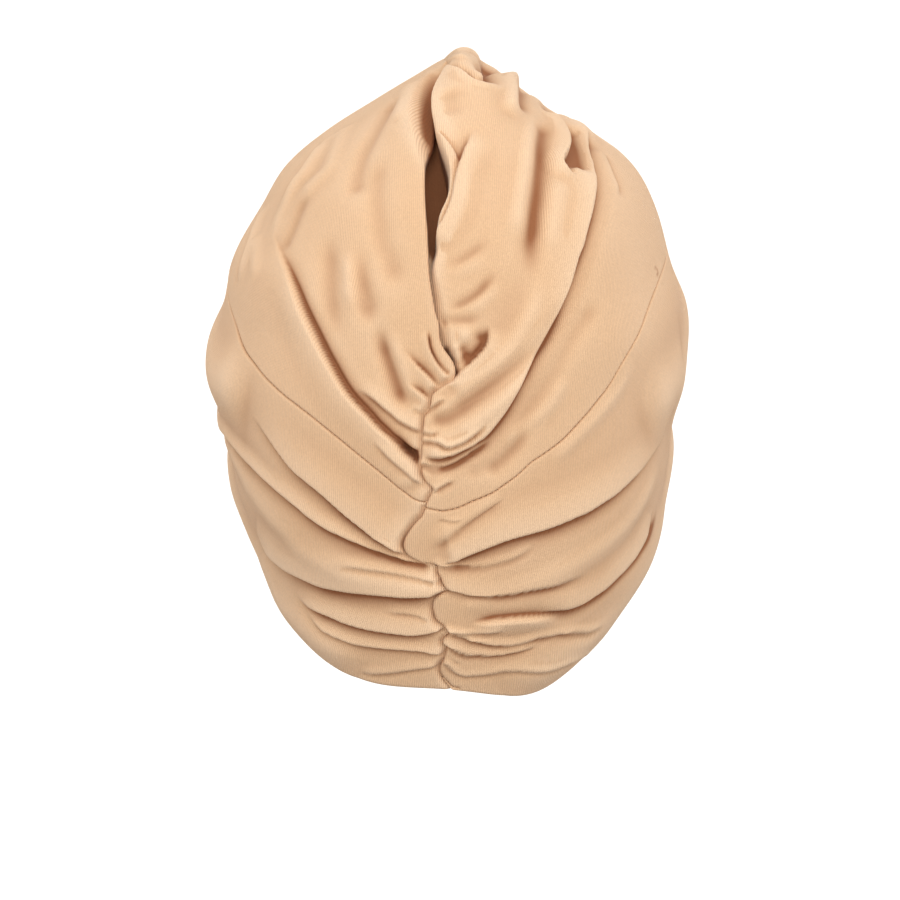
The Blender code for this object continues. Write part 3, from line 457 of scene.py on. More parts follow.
# Where cloth lies in deep shade under a lap: here a ripple's height is how much deeper its colour is
SHADOWS = (
    Ripple(BR, 1.5, 2.8, (20, 16), (
        (43, 30), (50, 32.2), (56.3, 35.2), (61, 37.8), (64.6, 40.4), (68.2, 43.8), (71.4, 47.2),
        (74.4, 50.6), (77, 54.2), (80.4, 60.2), (83, 67), (85, 74))),
    Ripple(CL, 0.8, 1.8, (9, 2), ((-22, 101.6), (-16.4, 96.4), (-13.4, 93.8), (-10.6, 91.2))),
    Ripple(CL, 0.6, 1.1, (40, 2), ((-58, 156), (-45, 129.5), (-35, 115), (-27, 106.4), (-19, 98.8))),
    # This small dark mark by the right seam is a loose thread end on the cloth, not shade
    Ripple(CR, 0.8, 0.7, (0.5, 0.5), ((83.4, 169.4), (85, 167.6), (84.2, 165.4))),
    Ripple(CL, 0.55, 3.4, (4, 6), ((-6, 249), (-9.6, 243), (-11.2, 236), (-11.6, 229), (-11.2, 222))),
    Ripple(CR, 0.4, 6.0, (10, 10), ((46, 230), (50, 222), (52.6, 214), (53, 206))),
)

# Combed cotton jersey and polyester thread, in metres. Single fibres are too fine to show, so their
# flecks are drawn as coarse as a knit stitch.
LOOP_SHARE = 0.35
KNIT_DEPTH = 0.00025
CLOUD_SIZE, CLOUD_DETAIL = 0.035, 3.0
FIBRE_SIZE, FIBRE_DETAIL = 0.0009, 2.0
# The noise that flecks show between, how dark and light they are, and the heights of the knit that its
# lines of painted shade in the grooves between wales are drawn between
FLECK_SEEN, FLECK_TONES = (0.3, 0.7), (0.95, 1.04)
WALE_RELIEF = (-1.0, 0.6)
JERSEY_ROUGHNESS = 0.88
JERSEY_SPECULAR = 0.25
SHEEN_ROUGHNESS = 0.45
THREAD_ROUGHNESS = 0.5

# The seam allowance inside, and the stitches in the seam, below the cloth's face
TAPE_DEPTH, TAPE_WALL = 2.2, 0.8
STITCH_DEPTH = 0.5
STITCH_SEGMENTS, STITCH_RINGS = 6, 5

# The studio: where the camera aims in the object's frame, and how far toward it the drawn width holds
AIM = (-1.6, 0, 37.15)
NEAR_PLANE = 60.0
SENSOR_WIDTH = 36.0
CLIP_END = 60.0
FLOOR_WIDTH = 30.0
# Where the main light comes from, and between which heights of the sky its colour changes
KEY_FROM = (-0.15, 0.85, 0.5)
SKY_RISE = (-0.9, 0.1)


def smooth(value):
    """Ease from 0 to 1 as the value goes from 0 to 1."""
    held = np.clip(value, 0.0, 1.0)
    return held * held * (3.0 - 2.0 * held)


def lengths_along(points):
    """Running length along a line of points."""
    steps = np.linalg.norm(np.diff(points, axis=0), axis=1)
    return np.concatenate([[0.0], np.cumsum(steps)])


def resample(points, spacing=None, shares=None):
    """Points along a line, at an even spacing or at given shares of its length."""
    run = lengths_along(points[:, :2])
    if shares is None:
        count = max(3, int(round(run[-1] / spacing)) + 1)
        shares = np.linspace(0, 1, count)
    wanted = np.asarray(shares) * run[-1]
    return np.stack([np.interp(wanted, run, column) for column in points.T], axis=1)


def curve_through(points, spacing):
    """Smooth curve through points, as points at an even spacing."""
    points = np.asarray(points, dtype=float)
    before = 2 * points[0] - points[1]
    after = 2 * points[-1] - points[-2]
    padded = np.vstack([before, points, after])
    pieces = []
    for index in range(len(points) - 1):
        p0, p1, p2, p3 = padded[index:index + 4]
        along = np.linspace(0, 1, LINE_STEPS, endpoint=False)[:, None]
        pieces.append(0.5 * (2 * p1 + (p2 - p0) * along + (2 * p0 - 5 * p1 + 4 * p2 - p3) * along ** 2
                             + (3 * p1 - p0 - 3 * p2 + p3) * along ** 3))
    pieces.append(points[-1:])
    return resample(np.vstack(pieces), spacing=spacing)


class Form:
    """The smooth rounded form under the folds.

    Its surface is laid out flat as a round map: the distance from the middle is the length down the
    cloth from the top, and the direction is the angle round the head. Map x runs to the right side
    and map y to the back.
    """

    def __init__(self):
        rows = np.array([(row.height, (row.left + row.right) / 2, (row.left - row.right) / 2,
                          (row.back + row.front) / 2, (row.back - row.front) / 2) for row in SECTIONS])
        mean_radius = (rows[:, 1] + rows[:, 3]) / 2
        steps = np.hypot(np.diff(mean_radius), np.diff(rows[:, 0]))
        self.levels = np.concatenate([[0.0], np.cumsum(steps)])
        self.top = self.levels[-1]
        # Past the top the form goes down again, as the same sections turned round
        mirrored = rows[-2] * np.array([1, -1, 1, -1, 1])
        levels = np.concatenate([[-self.levels[1]], self.levels, [2 * self.top - self.levels[-2]]])
        padded = np.vstack([2 * rows[0] - rows[1], rows, mirrored])
        self.rows = rows
        self.slopes = (padded[2:] - padded[:-2]) / (levels[2:] - levels[:-2])[:, None]
        self.fine_levels = np.linspace(0, self.top, LEVEL_STEPS)
        self.fine_heights = self.section(self.fine_levels)[0]

    def section(self, level):
        """Height, half width, centre x, half depth and centre y at each level up the cloth."""
        level = np.clip(level, -FORM_RUN_ON, self.top)
        index = np.clip(np.searchsorted(self.levels, level) - 1, 0, len(self.levels) - 2)
        start = self.levels[index]
        span = self.levels[index + 1] - start
        t = ((level - start) / span)[..., None]
        span = span[..., None]
        value = ((2 * t ** 3 - 3 * t ** 2 + 1) * self.rows[index]
                 + (t ** 3 - 2 * t ** 2 + t) * span * self.slopes[index]
                 + (3 * t ** 2 - 2 * t ** 3) * self.rows[index + 1]
                 + (t ** 3 - t ** 2) * span * self.slopes[index + 1])
        return tuple(np.moveaxis(value, -1, 0))

    def point(self, flat):
        """Points of the form at map places."""
        flat = np.asarray(flat, dtype=float)
        distance = np.hypot(flat[..., 0], flat[..., 1])
        safe = np.maximum(distance, SMALLEST)
        sideways, backward = flat[..., 0] / safe, flat[..., 1] / safe
        height, half_width, centre_x, half_depth, centre_y = self.section(self.top - distance)
        half_width = np.maximum(half_width, SMALLEST)
        half_depth = np.maximum(half_depth, SMALLEST)
        power = SECTION_ROUNDNESS
        reach = (np.abs(sideways) / half_width) ** power + (np.abs(backward) / half_depth) ** power
        reach = reach ** (-1 / power)
        return np.stack([centre_x - reach * sideways, centre_y + reach * backward, height], axis=-1)

    def normal(self, flat):
        """Outward directions of the form at map places."""
        flat = np.asarray(flat, dtype=float)
        right = self.point(flat + (NORMAL_STEP, 0)) - self.point(flat - (NORMAL_STEP, 0))
        back = self.point(flat + (0, NORMAL_STEP)) - self.point(flat - (0, NORMAL_STEP))
        across = np.cross(back, right)
        return across / np.linalg.norm(across, axis=-1, keepdims=True)

    def from_view(self, across, up):
        """Map place of a point charted on the back view."""
        height, half_width, centre_x, half_depth, centre_y = self.section(self.fine_levels)
        share = np.clip(np.abs(-across - centre_x) / np.maximum(half_width, SMALLEST), 0, 1)
        depth = centre_y + half_depth * (1 - share ** SECTION_ROUNDNESS) ** (1 / SECTION_ROUNDNESS)
        ups = height * math.cos(VIEW_TILT) + (NAPE_DEPTH - depth) * math.sin(VIEW_TILT)
        horizon = int(np.argmax(ups))
        level = np.interp(up, ups[:horizon + 1], self.fine_levels[:horizon + 1])
        depth_here = np.interp(level, self.fine_levels, depth)
        centre_x_here = np.interp(level, self.fine_levels, centre_x)
        centre_y_here = np.interp(level, self.fine_levels, centre_y)
        angle = math.atan2(across + centre_x_here, depth_here - centre_y_here)
        return (self.top - level) * math.sin(angle), (self.top - level) * math.cos(angle)

    def from_around(self, degrees, height):
        """Map place of a point given by its angle round the head and its height."""
        level = np.interp(height, self.fine_heights, self.fine_levels)
        angle = math.radians(degrees)
        return (self.top - level) * math.sin(angle), (self.top - level) * math.cos(angle)

    def line(self, seen, around=()):
        """Map line through points charted on the back view and then round the head."""
        places = [self.from_view(*point) for point in seen] + [self.from_around(*point) for point in around]
        return curve_through(places, LINE_SPACING)

    def rim(self, degrees):
        """Map places of the rim at angles round the head."""
        angles = np.radians(np.asarray(degrees, dtype=float))
        low = np.full_like(angles, -FORM_RUN_ON)
        high = np.full_like(angles, self.top * RIM_SHARE)
        for _ in range(HALVINGS):
            level = (low + high) / 2
            distance = self.top - level
            place = np.stack([distance * np.sin(angles), distance * np.cos(angles)], axis=-1)
            point = self.point(place)
            wanted = RIM_RISE * (NAPE_DEPTH - point[..., 1]) + RIM_LEAN * point[..., 0] - RIM_DIP
            for middle, sag, width in RIM_SAGS:
                beside = np.exp(-((point[..., 0] - middle) / width) ** 2)
                wanted = wanted - sag * beside * smooth(point[..., 1] / NAPE_DEPTH + RIM_SAG_START)
            above = point[..., 2] > wanted
            high = np.where(above, level, high)
            low = np.where(above, low, level)
        return place


def angle_of(place):
    """Angle round the head of a map place, in degrees, from -180 to 180."""
    return math.degrees(math.atan2(place[0], place[1]))


Nearness = namedtuple("Nearness", "chosen signed along total")


def near_line(form, line, points_at, normals_at, within):
    """Which points lie near a map line, how far left of its run each is, and how far along it."""
    nodes = form.point(line)
    run = lengths_along(nodes)
    best = np.full(len(points_at), float(within) ** 2)
    signed = np.ones(len(points_at))
    along = np.zeros(len(points_at))
    last = len(nodes) - 2
    for first in range(0, last + 1, STRETCH):
        part = nodes[first:first + STRETCH + 1]
        inside = np.all((points_at > part.min(axis=0) - within) & (points_at < part.max(axis=0) + within),
                        axis=1)
        chosen = np.flatnonzero(inside)
        points = points_at[chosen]
        for index in range(first, min(first + STRETCH, last + 1)):
            edge = nodes[index + 1] - nodes[index]
            length = np.linalg.norm(edge)
            offset = points - nodes[index]
            share = offset @ edge / length ** 2
            gap = offset - np.clip(share, 0, 1)[:, None] * edge
            distance = np.einsum("ij,ij->i", gap, gap)
            closer = np.flatnonzero(distance < best[chosen])
            at = chosen[closer]
            share = np.clip(share[closer], None if index == 0 else 0, None if index == last else 1)
            best[at] = distance[closer]
            signed[at] = np.einsum("ij,ij->i", np.cross(normals_at[at], edge), gap[closer])
            along[at] = run[index] + share * length
    chosen = best < float(within) ** 2
    signed = np.where(signed[chosen] >= 0, 1.0, -1.0) * np.sqrt(best[chosen])
    return Nearness(chosen, signed, along[chosen], run[-1])


def bulge_sign(seen, around, bulge):
    """+1 where the bulging side is left of the path's run, else -1."""
    path = np.array(seen if len(seen) > 1 else around, dtype=float)
    run = path[-1] - path[0]
    left_of_run = np.array([-run[1], run[0]])
    wanted = {"above": (0, 1), "below": (0, -1), "right": (1, 0), "left": (-1, 0)}[bulge]
    return 1.0 if left_of_run @ np.array(wanted) > 0 else -1.0


def end_strength(inward, fade):
    """How strong a fold is at distances inward from its end: it fades in, or is whole and rounds off."""
    return smooth(inward / fade) if fade else smooth(1 + inward / FOLD_ROUND_END)


def path_strength(near, fades):
    """How strong a fold or ripple is at the points near its path, with both of its ends."""
    return end_strength(near.along, fades[0]) * end_strength(near.total - near.along, fades[1])


def quarter_round(share):
    """Height of a quarter circle over its base, both from 0 to 1."""
    return np.sqrt(1 - (1 - np.clip(share, 0, 1)) ** 2)


def add_fold(form, one, height, points_at, normals_at):
    """Raise the bulging side of one lap and sink its low side."""
    line = form.line(one.path, one.around)
    near = near_line(form, line, points_at, normals_at, max(one.reach, one.low) + FOLD_MARGIN)
    signed = near.signed * bulge_sign(one.path, one.around, one.bulge)
    strength = path_strength(near, one.fades)
    roll = quarter_round(signed / one.roll)
    bulging = one.rise * (1 - smooth(signed / one.reach)) * roll - one.drop * (1 - roll)
    sunken = -one.drop * np.clip(1 + signed / one.low, 0, 1) ** 2
    height[near.chosen] += strength * np.where(signed > 0, bulging, sunken)


def add_ripple(form, one, height, points_at, normals_at):
    """Raise or sink one soft ripple."""
    line = form.line(one.path, one.around)
    near = near_line(form, line, points_at, normals_at, RIPPLE_REACH * one.width)
    strength = path_strength(near, one.fades)
    height[near.chosen] += one.height * strength * np.exp(-(near.signed / one.width) ** 2)


def step_depth(form, rows, points_at, normals_at, sunk_side, share_past, fades):
    """How far cloth sinks past a line of step rows, on its left where the sunk side is +1, or its right."""
    table = np.array([form.from_view(row.across, row.up) + (row.depth, row.slope) for row in rows])
    line = curve_through(table, LINE_SPACING)
    near = near_line(form, line[:, :2], points_at, normals_at, EDGE_REACH)
    run = lengths_along(form.point(line[:, :2]))
    depth = np.interp(near.along, run, line[:, 2])
    slope = np.interp(near.along, run, line[:, 3])
    depth = depth * smooth(1 + near.along / fades[0]) * smooth(1 + (near.total - near.along) / fades[1])
    sunk = np.zeros(len(points_at))
    sunk[near.chosen] = depth * smooth(near.signed * sunk_side / slope + 1 - share_past)
    return sunk


def pinned(line, first, last):
    """A line nudged so that its ends sit on two given places."""
    share = np.linspace(0, 1, len(line))[:, None]
    near_first = (1 - share) ** CORNER_SHARPNESS
    near_last = share ** CORNER_SHARPNESS
    return line + (first - line[0]) * near_first + (last - line[-1]) * near_last


def sheet_map(bottom, top, start_edge, end_edge, strips, rows):
    """Map places of a sheet's grid between its four edges, crowded toward the centre back."""
    u = np.linspace(0, 1, strips + 1)
    u = u * (1 - BACK_CROWDING) + u * u * BACK_CROWDING
    v = np.linspace(0, 1, rows + 1)
    low = resample(bottom, shares=u)
    high = resample(top, shares=u)
    start = pinned(resample(start_edge, shares=v), low[0], high[0])
    end = pinned(resample(end_edge, shares=v), low[-1], high[-1])
    share_v = v[None, :, None]
    grid = low[:, None, :] * (1 - share_v) + high[:, None, :] * share_v
    start_chord = low[0] * (1 - v[:, None]) + high[0] * v[:, None]
    end_chord = low[-1] * (1 - v[:, None]) + high[-1] * v[:, None]
    near_start = ((1 - u) ** EDGE_STRAIGHTENING)[:, None, None]
    near_end = (u ** EDGE_STRAIGHTENING)[:, None, None]
    return grid + near_start * (start - start_chord)[None] + near_end * (end - end_chord)[None]


def trimmed_arc(line, from_degrees, to_degrees, mirrored):
    """The stretch of a line round the head between two angles."""
    angles = np.degrees(np.arctan2(line[:, 0], line[:, 1]))
    if mirrored:
        angles = np.where(angles > 90, angles - 360, angles)
    else:
        angles = np.where(angles < -90, angles + 360, angles)
    order = np.argsort(angles)
    wanted = np.linspace(from_degrees, to_degrees, ROUND_STEPS)
    distance = np.hypot(line[:, 0], line[:, 1])[order]
    found = np.interp(wanted, angles[order], distance)
    radians = np.radians(wanted)
    return np.stack([found * np.sin(radians), found * np.cos(radians)], axis=1)


def moved_out(line, amount):
    """A line round the head, moved down the cloth by an amount."""
    distance = np.hypot(line[:, 0], line[:, 1])[:, None]
    return line * (distance + amount) / distance


def neighbours(values, cells, axis):
    """The values within some cells of each place of a grid, along one of its two ways."""
    padded = np.pad(values, [(cells, cells) if axis == a else (0, 0) for a in (0, 1)], mode="edge")
    return np.lib.stride_tricks.sliding_window_view(padded, 2 * cells + 1, axis=axis)


def spread_least(values, cells):
    """The least value within some cells of each place of a grid."""
    for axis in (0, 1):
        values = neighbours(values, cells, axis).min(axis=-1)
    return values


def blurred(values, cells):
    """A grid of values, averaged twice over some cells each way."""
    for axis in (0, 1, 0, 1):
        values = neighbours(values, cells, axis).mean(axis=-1)
    return values


def evened(values, passes):
    """A grid of values, each drawn a little toward its neighbours, some times over."""
    for axis in (0, 1) * passes:
        near = neighbours(values, 1, axis)
        values = (near[..., 0] + 2 * near[..., 1] + near[..., 2]) / 4
    return values


def placed(points):
    """Points of the chart's frame as points of the object, in metres."""
    moved = np.array(points, dtype=float) * MM
    moved[..., 2] -= SEAT_HEIGHT * MM
    return moved


class Turban:
    """Works out the lines and the relief of the four sheets."""

    def __init__(self):
        form = Form()
        crown_front = CROWN_FRONT_AROUND + (FRONT_MEETING,)
        self.form = form
        self.front = form.line((), FRONT_LINE_AROUND + (FRONT_MEETING,))
        self.seams = {
            "left": form.line(LEFT_SEAM_SEEN, LEFT_SEAM_AROUND),
            "right": form.line(RIGHT_SEAM_SEEN, RIGHT_SEAM_AROUND),
        }
        self.band_backs = {
            "left": form.line(LEFT_BAND_BACK + (LEFT_SEAM_SEEN[0],)),
            "right": form.line(RIGHT_BAND_BACK + (RIGHT_SEAM_SEEN[0],)),
        }
        self.crown_edges = {
            "left": form.line((LEFT_SEAM_SEEN[0],) + LEFT_CROWN_SEEN, LEFT_CROWN_OVER + crown_front),
            "right": form.line((RIGHT_SEAM_SEEN[0],) + RIGHT_CROWN_SEEN, RIGHT_CROWN_OVER + crown_front),
        }
        self.over_left = form.line((RIGHT_SEAM_SEEN[0],) + RIGHT_CROWN_SEEN[:CROSSING_POINT + 1])

    def band_grid(self, side, seam_gap, front_gap):
        """Map grid of one band."""
        mirrored = side == "left"
        back = self.band_backs[side]
        front = self.front + ((-1 if mirrored else 1) * front_gap, 0)
        turn = 360 if mirrored else 0
        rim = self.form.rim(np.linspace(angle_of(back[0]), angle_of(front[0]) % 360 - turn, ROUND_STEPS))
        top = trimmed_arc(self.seams[side], angle_of(back[-1]), angle_of(front[-1]) % 360 - turn, mirrored)
        return sheet_map(rim, moved_out(top, seam_gap), back, front, BAND_STRIPS, BAND_ROWS)

    def crown_grid(self, side, seam_gap, front_gap):
        """Map grid of one crown. Its centre edge is split into a side, a top and a front."""
        mirrored = side == "left"
        edge = self.crown_edges[side].copy()
        share = lengths_along(edge) / lengths_along(edge)[-1]
        edge[:, 0] += (-1 if mirrored else 1) * front_gap * smooth((share - TOP_START) / GAP_OPENING)
        seam_end = angle_of(edge[-1]) % 360 - (360 if mirrored else 0)
        bottom = moved_out(trimmed_arc(self.seams[side], angle_of(edge[0]), seam_end, mirrored), -seam_gap)
        shares = np.linspace(0, 1, ROUND_STEPS)
        start_edge = resample(edge, shares=shares * TOP_START)
        top = resample(edge, shares=TOP_START + shares * (TOP_END - TOP_START))
        end_edge = resample(edge, shares=1 - shares * (1 - TOP_END))
        return sheet_map(bottom, top, start_edge, end_edge, CROWN_STRIPS, CROWN_ROWS)

    def relief(self, sheet, flat):
        """How far the outer face stands off the smooth form at map places, before its edges roll."""
        form = self.form
        points_at = form.point(flat)
        normals_at = form.normal(flat)
        height = np.zeros(len(flat))
        for adder, table in ((add_fold, FOLDS), (add_ripple, RIPPLES)):
            for one in table:
                if one.sheet == sheet:
                    adder(form, one, height, points_at, normals_at)
        over = self.band_backs["right"] if sheet in (BL, BR) else self.over_left
        near = near_line(form, over, points_at, normals_at, EDGE_REACH)
        if sheet in (BR, CR):
            lowest = np.full(len(flat), FOLD_LOWEST)
            held = 1 - smooth((np.abs(near.signed) - EDGE_HELD / 2) / EDGE_HELD)
            lowest[near.chosen] += (EDGE_LOWEST - FOLD_LOWEST) * held
            height = np.maximum(height, lowest)
        if sheet == CR:
            height -= step_depth(form, POCKET, points_at, normals_at, -1, POCKET_SLOPE_PAST, POCKET_FADES)
        if sheet in (BL, CL):
            covered = smooth((TUCK_SLOPE - near.signed) / TUCK_SLOPE)
            if sheet == CL:
                covered = covered * smooth((near.total - near.along + TUCK_FADE) / (2 * TUCK_FADE))
            depth = TUCK_DEPTH + TUCK_MORE * smooth(-near.signed / TUCK_RUN)
            height[near.chosen] = height[near.chosen] * (1 - covered) - depth * covered
        if sheet == CL:
            height -= step_depth(form, LEFT_DIP, points_at, normals_at, 1, DIP_SLOPE_PAST, DIP_FADES)
        return height, points_at, normals_at

    def rolled(self, sheet, height, points_at, normals_at, shape):
        """The relief with each free or sewn edge of the sheet rolled under."""
        side = "left" if sheet in (BL, CL) else "right"
        edges = [(self.seams[side], shape.seam_roll), (self.front, shape.seam_roll)]
        if sheet in (BL, BR):
            edges.append((self.band_backs[side], shape.edge_roll))
            degrees = np.linspace(0, 360, ROUND_STEPS)
            edges.append((self.form.rim(degrees), shape.rim_roll))
        else:
            edges[1] = (self.crown_edges[side], shape.edge_roll)
        lowered = height.copy()
        for line, radius in edges:
            radius = radius / MM
            near = near_line(self.form, line, points_at, normals_at, radius + ROLL_MARGIN)
            drop = radius * (1 - quarter_round(np.abs(near.signed) / radius))
            lowered[near.chosen] -= drop
        return lowered


def painted_shade_tint(height, strips, rows):
    """Painted shade, up to 1, by how deep in a crease each grid point lies, or painted highlight on a ridge,
    to -1.
    """
    grid = height.reshape(strips, rows)
    tint = smooth((-grid - SHADE_FROM) / (SHADE_FULL - SHADE_FROM))
    for shade in SHADES:
        tint = tint + shade.share * np.clip((blurred(grid, shade.cells) - grid) / shade.depth, 0, 1)
    ridge = np.clip((grid - blurred(grid, RIDGE_CELLS)) / RIDGE_HEIGHT, 0, 1)
    return np.where(tint > LEAST_SHADE, np.minimum(tint, 1), -ridge).reshape(-1)


def shadowed(form, sheet, points_at, normals_at):
    """How much deeper each point's colour is, where cloth lies in deep shade under a lap."""
    tint = np.zeros(len(points_at))
    for one in SHADOWS:
        if one.sheet == sheet:
            add_ripple(form, one, tint, points_at, normals_at)
    return tint


def linked(name, data):
    """A new object of the scene, which holds the data."""
    made = bpy.data.objects.new(name, data)
    bpy.context.scene.collection.objects.link(made)
    return made


def smooth_mesh(name, points, faces, material):
    """A mesh in one material, shaded smooth."""
    mesh = bpy.data.meshes.new(name)
    mesh.from_pydata(points.tolist(), [], faces)
    mesh.shade_smooth()
    mesh.materials.append(material)
    return mesh


def add_sheet(name, form, grid, height, shadow, points_at, normals_at, wall, material):
    """One closed cloth piece: a fine outer face, and a plainer inner wall under it."""
    strips, rows = grid.shape[0] - 1, grid.shape[1] - 1
    outer = placed(points_at + normals_at * height[:, None])
    relief = height.reshape(strips + 1, rows + 1)
    inner_height = blurred(spread_least(relief, INNER_STEP), INNER_STEP)
    inner_height = np.minimum(inner_height, relief) - wall
    strip_steps = list(range(0, strips + 1, INNER_STEP))
    row_steps = list(range(0, rows + 1, INNER_STEP))
    picked = (np.array(strip_steps)[:, None] * (rows + 1) + np.array(row_steps)[None, :]).reshape(-1)
    inner = placed(points_at[picked] + normals_at[picked] * inner_height.reshape(-1)[picked][:, None])
    count = len(outer)

    def at(strip, row):
        return strip * (rows + 1) + row

    def under(strip, row):
        return count + (strip // INNER_STEP) * len(row_steps) + row // INNER_STEP

    faces = []
    for strip in range(strips):
        for row in range(rows):
            faces.append((at(strip, row), at(strip + 1, row), at(strip + 1, row + 1), at(strip, row + 1)))
    for strip in strip_steps[:-1]:
        for row in row_steps[:-1]:
            far, high = strip + INNER_STEP, row + INNER_STEP
            faces.append((under(strip, high), under(far, high), under(far, row), under(strip, row)))
    border = [(s, 0) for s in range(strips)] + [(strips, r) for r in range(rows)]
    border += [(s, rows) for s in range(strips, 0, -1)] + [(0, r) for r in range(rows, 0, -1)]
    for start in range(0, len(border), INNER_STEP):
        stretch = [border[(start + step) % len(border)] for step in range(INNER_STEP + 1)]
        top_side = [at(*place) for place in reversed(stretch)]
        faces.append(tuple(top_side + [under(*stretch[0]), under(*stretch[-1])]))
    mesh = smooth_mesh(name, np.vstack([outer, inner]), faces, material)
    # Painted shade and highlight, kept for the material: on the outer face from folds, ridges and laps
    tint = mesh.attributes.new("crease", "FLOAT", "POINT")
    # The inner wall is painted in full shade
    values = np.ones(len(mesh.vertices), dtype=np.float32)
    values[:count] = np.minimum(painted_shade_tint(height, strips + 1, rows + 1) + shadow, 1)
    tint.data.foreach_set("value", values)
    add_weave_map(mesh, form, grid.reshape(-1, 2), name.startswith("left"), picked)
    return linked(name, mesh)


def add_weave_map(mesh, form, flat, mirrored, picked):
    """UV map in metres of cloth: round the form from the centre back, and up it."""
    level = form.top - np.hypot(flat[:, 0], flat[:, 1])
    half_width, half_depth = np.array(form.section(level))[[1, 3]]
    angle = np.arctan2(flat[:, 0], flat[:, 1])
    if mirrored:
        angle = np.where(angle > math.pi / 2, angle - 2 * math.pi, angle)
    else:
        angle = np.where(angle < -math.pi / 2, angle + 2 * math.pi, angle)
    places = np.stack([angle * (half_width + half_depth) / 2, level], axis=1) * MM
    places = np.vstack([places, places[picked]])
    loops = np.zeros(len(mesh.loops), dtype=np.int32)
    mesh.loops.foreach_get("vertex_index", loops)
    layer = mesh.uv_layers.new(name="weave")
    layer.data.foreach_set("uv", places[loops].astype(np.float32).reshape(-1))


def linear(colour):
    """A hex sRGB colour as linear values."""
    parts = [int(colour[index:index + 2], 16) / 255 for index in (1, 3, 5)]
    return tuple(c / 12.92 if c <= 0.04045 else ((c + 0.055) / 1.055) ** 2.4 for c in parts)


def principled(name, sockets):
    """A new material, its node tree and its shader, with some of the shader's sockets set."""
    material = bpy.data.materials.new(name)
    material.use_nodes = True
    shader = material.node_tree.nodes["Principled BSDF"]
    for socket, value in sockets.items():
        shader.inputs[socket].default_value = value
    return material, material.node_tree, shader


def add_node(tree, kind, settings=None, inputs=()):
    """Add a node, set its properties, and set or link its sockets, given in order, by name or by number."""
    node = tree.nodes.new(kind)
    for name, value in (settings or {}).items():
        setattr(node, name, value)
    for name, value in inputs.items() if isinstance(inputs, dict) else enumerate(inputs):
        socket = node.inputs[name]
        if isinstance(value, bpy.types.NodeSocket):
            tree.links.new(value, socket)
        else:
            socket.default_value = value
    return node


def knit_height(tree, weave, cloth):
    """Relief of a jersey's face: upright wales, each a column of small V shapes."""
    parts = add_node(tree, "ShaderNodeSeparateXYZ", inputs=(weave,))
    made = {"around": parts.outputs[0], "up": parts.outputs[1]}
    steps = (
        ("wale", "MULTIPLY", "around", 1 / cloth.wale),
        ("course", "MULTIPLY", "up", 1 / cloth.course),
        ("place", "FRACT", "wale", 0.0),
        ("from_middle", "SUBTRACT", "place", 0.5),
        ("aside", "ABSOLUTE", "from_middle", 0.0),
        ("rib_turn", "MULTIPLY", "aside", 2 * math.pi),
        ("rib", "COSINE", "rib_turn", 0.0),
        ("row", "ADD", "course", "aside"),
        ("row_turn", "MULTIPLY", "row", 2 * math.pi),
        ("loops", "SINE", "row_turn", 0.0),
        ("shallow_loops", "MULTIPLY", "loops", LOOP_SHARE),
        ("knit", "ADD", "rib", "shallow_loops"),
    )
    for name, operation, first, second in steps:
        node = add_node(tree, "ShaderNodeMath", {"operation": operation},
                        (made[first], made.get(second, second)))
        made[name] = node.outputs[0]
    return made["knit"]


def cotton_jersey(name, cloth, look):
    """Combed cotton jersey: matte, with fine upright wales and a slightly uneven dye.

    Folds are painted deeper and warmer, as painted shade for light that has met the dyed cloth more than
    once, ridges get a painted highlight, and the grooves between wales painted shade.
    """
    material, tree, shader = principled(name, {
        "Roughness": JERSEY_ROUGHNESS, "Specular IOR Level": JERSEY_SPECULAR,
        "Sheen Roughness": SHEEN_ROUGHNESS})
    place = add_node(tree, "ShaderNodeTexCoord").outputs["Object"]
    cloudy, fibres = [
        add_node(tree, "ShaderNodeTexNoise", inputs={"Vector": place, "Scale": 1 / size, "Detail": detail})
        for size, detail in ((CLOUD_SIZE, CLOUD_DETAIL), (FIBRE_SIZE, FIBRE_DETAIL))]
    crease = add_node(tree, "ShaderNodeAttribute", {"attribute_name": "crease"}).outputs["Fac"]
    weave = add_node(tree, "ShaderNodeUVMap", {"uv_map": "weave"}).outputs[0]
    knit = knit_height(tree, weave, cloth)
    # Shares of painted shade in folds and of painted highlight on ridges, the flecks, and painted shade in
    # wale grooves
    shaded, raised, fleck, painted_groove_shade = [
        add_node(tree, "ShaderNodeMapRange", inputs=spans).outputs[0]
        for spans in (
            (crease, 0.0, 1.0, 0.0, look.painted_shade_strength),
            (crease, 0.0, -1.0, 0.0, look.painted_highlight_strength),
            (fibres.outputs[0], *FLECK_SEEN, *FLECK_TONES),
            (knit, *WALE_RELIEF, look.groove_shade_lightness, 1.0))]
    # Dye tone, then painted highlight on ridges, painted shade in folds, flecks, and painted shade in wale
    # grooves
    colour = (*look.shade, 1)
    for blend, share, laid_over in (
            ("MIX", cloudy.outputs[0], (*look.cloth, 1)),
            ("MIX", raised, (*look.ridge, 1)),
            ("MULTIPLY", shaded, (*look.crease, 1)),
            ("MULTIPLY", 1.0, fleck),
            ("MULTIPLY", 1.0, painted_groove_shade)):
        layer = add_node(tree, "ShaderNodeMix", {"data_type": "RGBA", "blend_type": blend},
                         {0: share, 6: colour, 7: laid_over})
        colour = layer.outputs[2]
    tree.links.new(colour, shader.inputs["Base Color"])
    # Sheen and the knit's bump fade where shade is painted
    open_cloth = add_node(tree, "ShaderNodeMath", {"operation": "SUBTRACT"}, (1.0, shaded)).outputs[0]
    sheen, strength = [
        add_node(tree, "ShaderNodeMath", {"operation": "MULTIPLY"}, (open_cloth, most)).outputs[0]
        for most in (look.sheen, look.knit_strength)]
    tree.links.new(sheen, shader.inputs["Sheen Weight"])
    bump = add_node(tree, "ShaderNodeBump", inputs={
        "Strength": strength, "Distance": KNIT_DEPTH, "Height": knit})
    tree.links.new(bump.outputs[0], shader.inputs["Normal"])
    return material


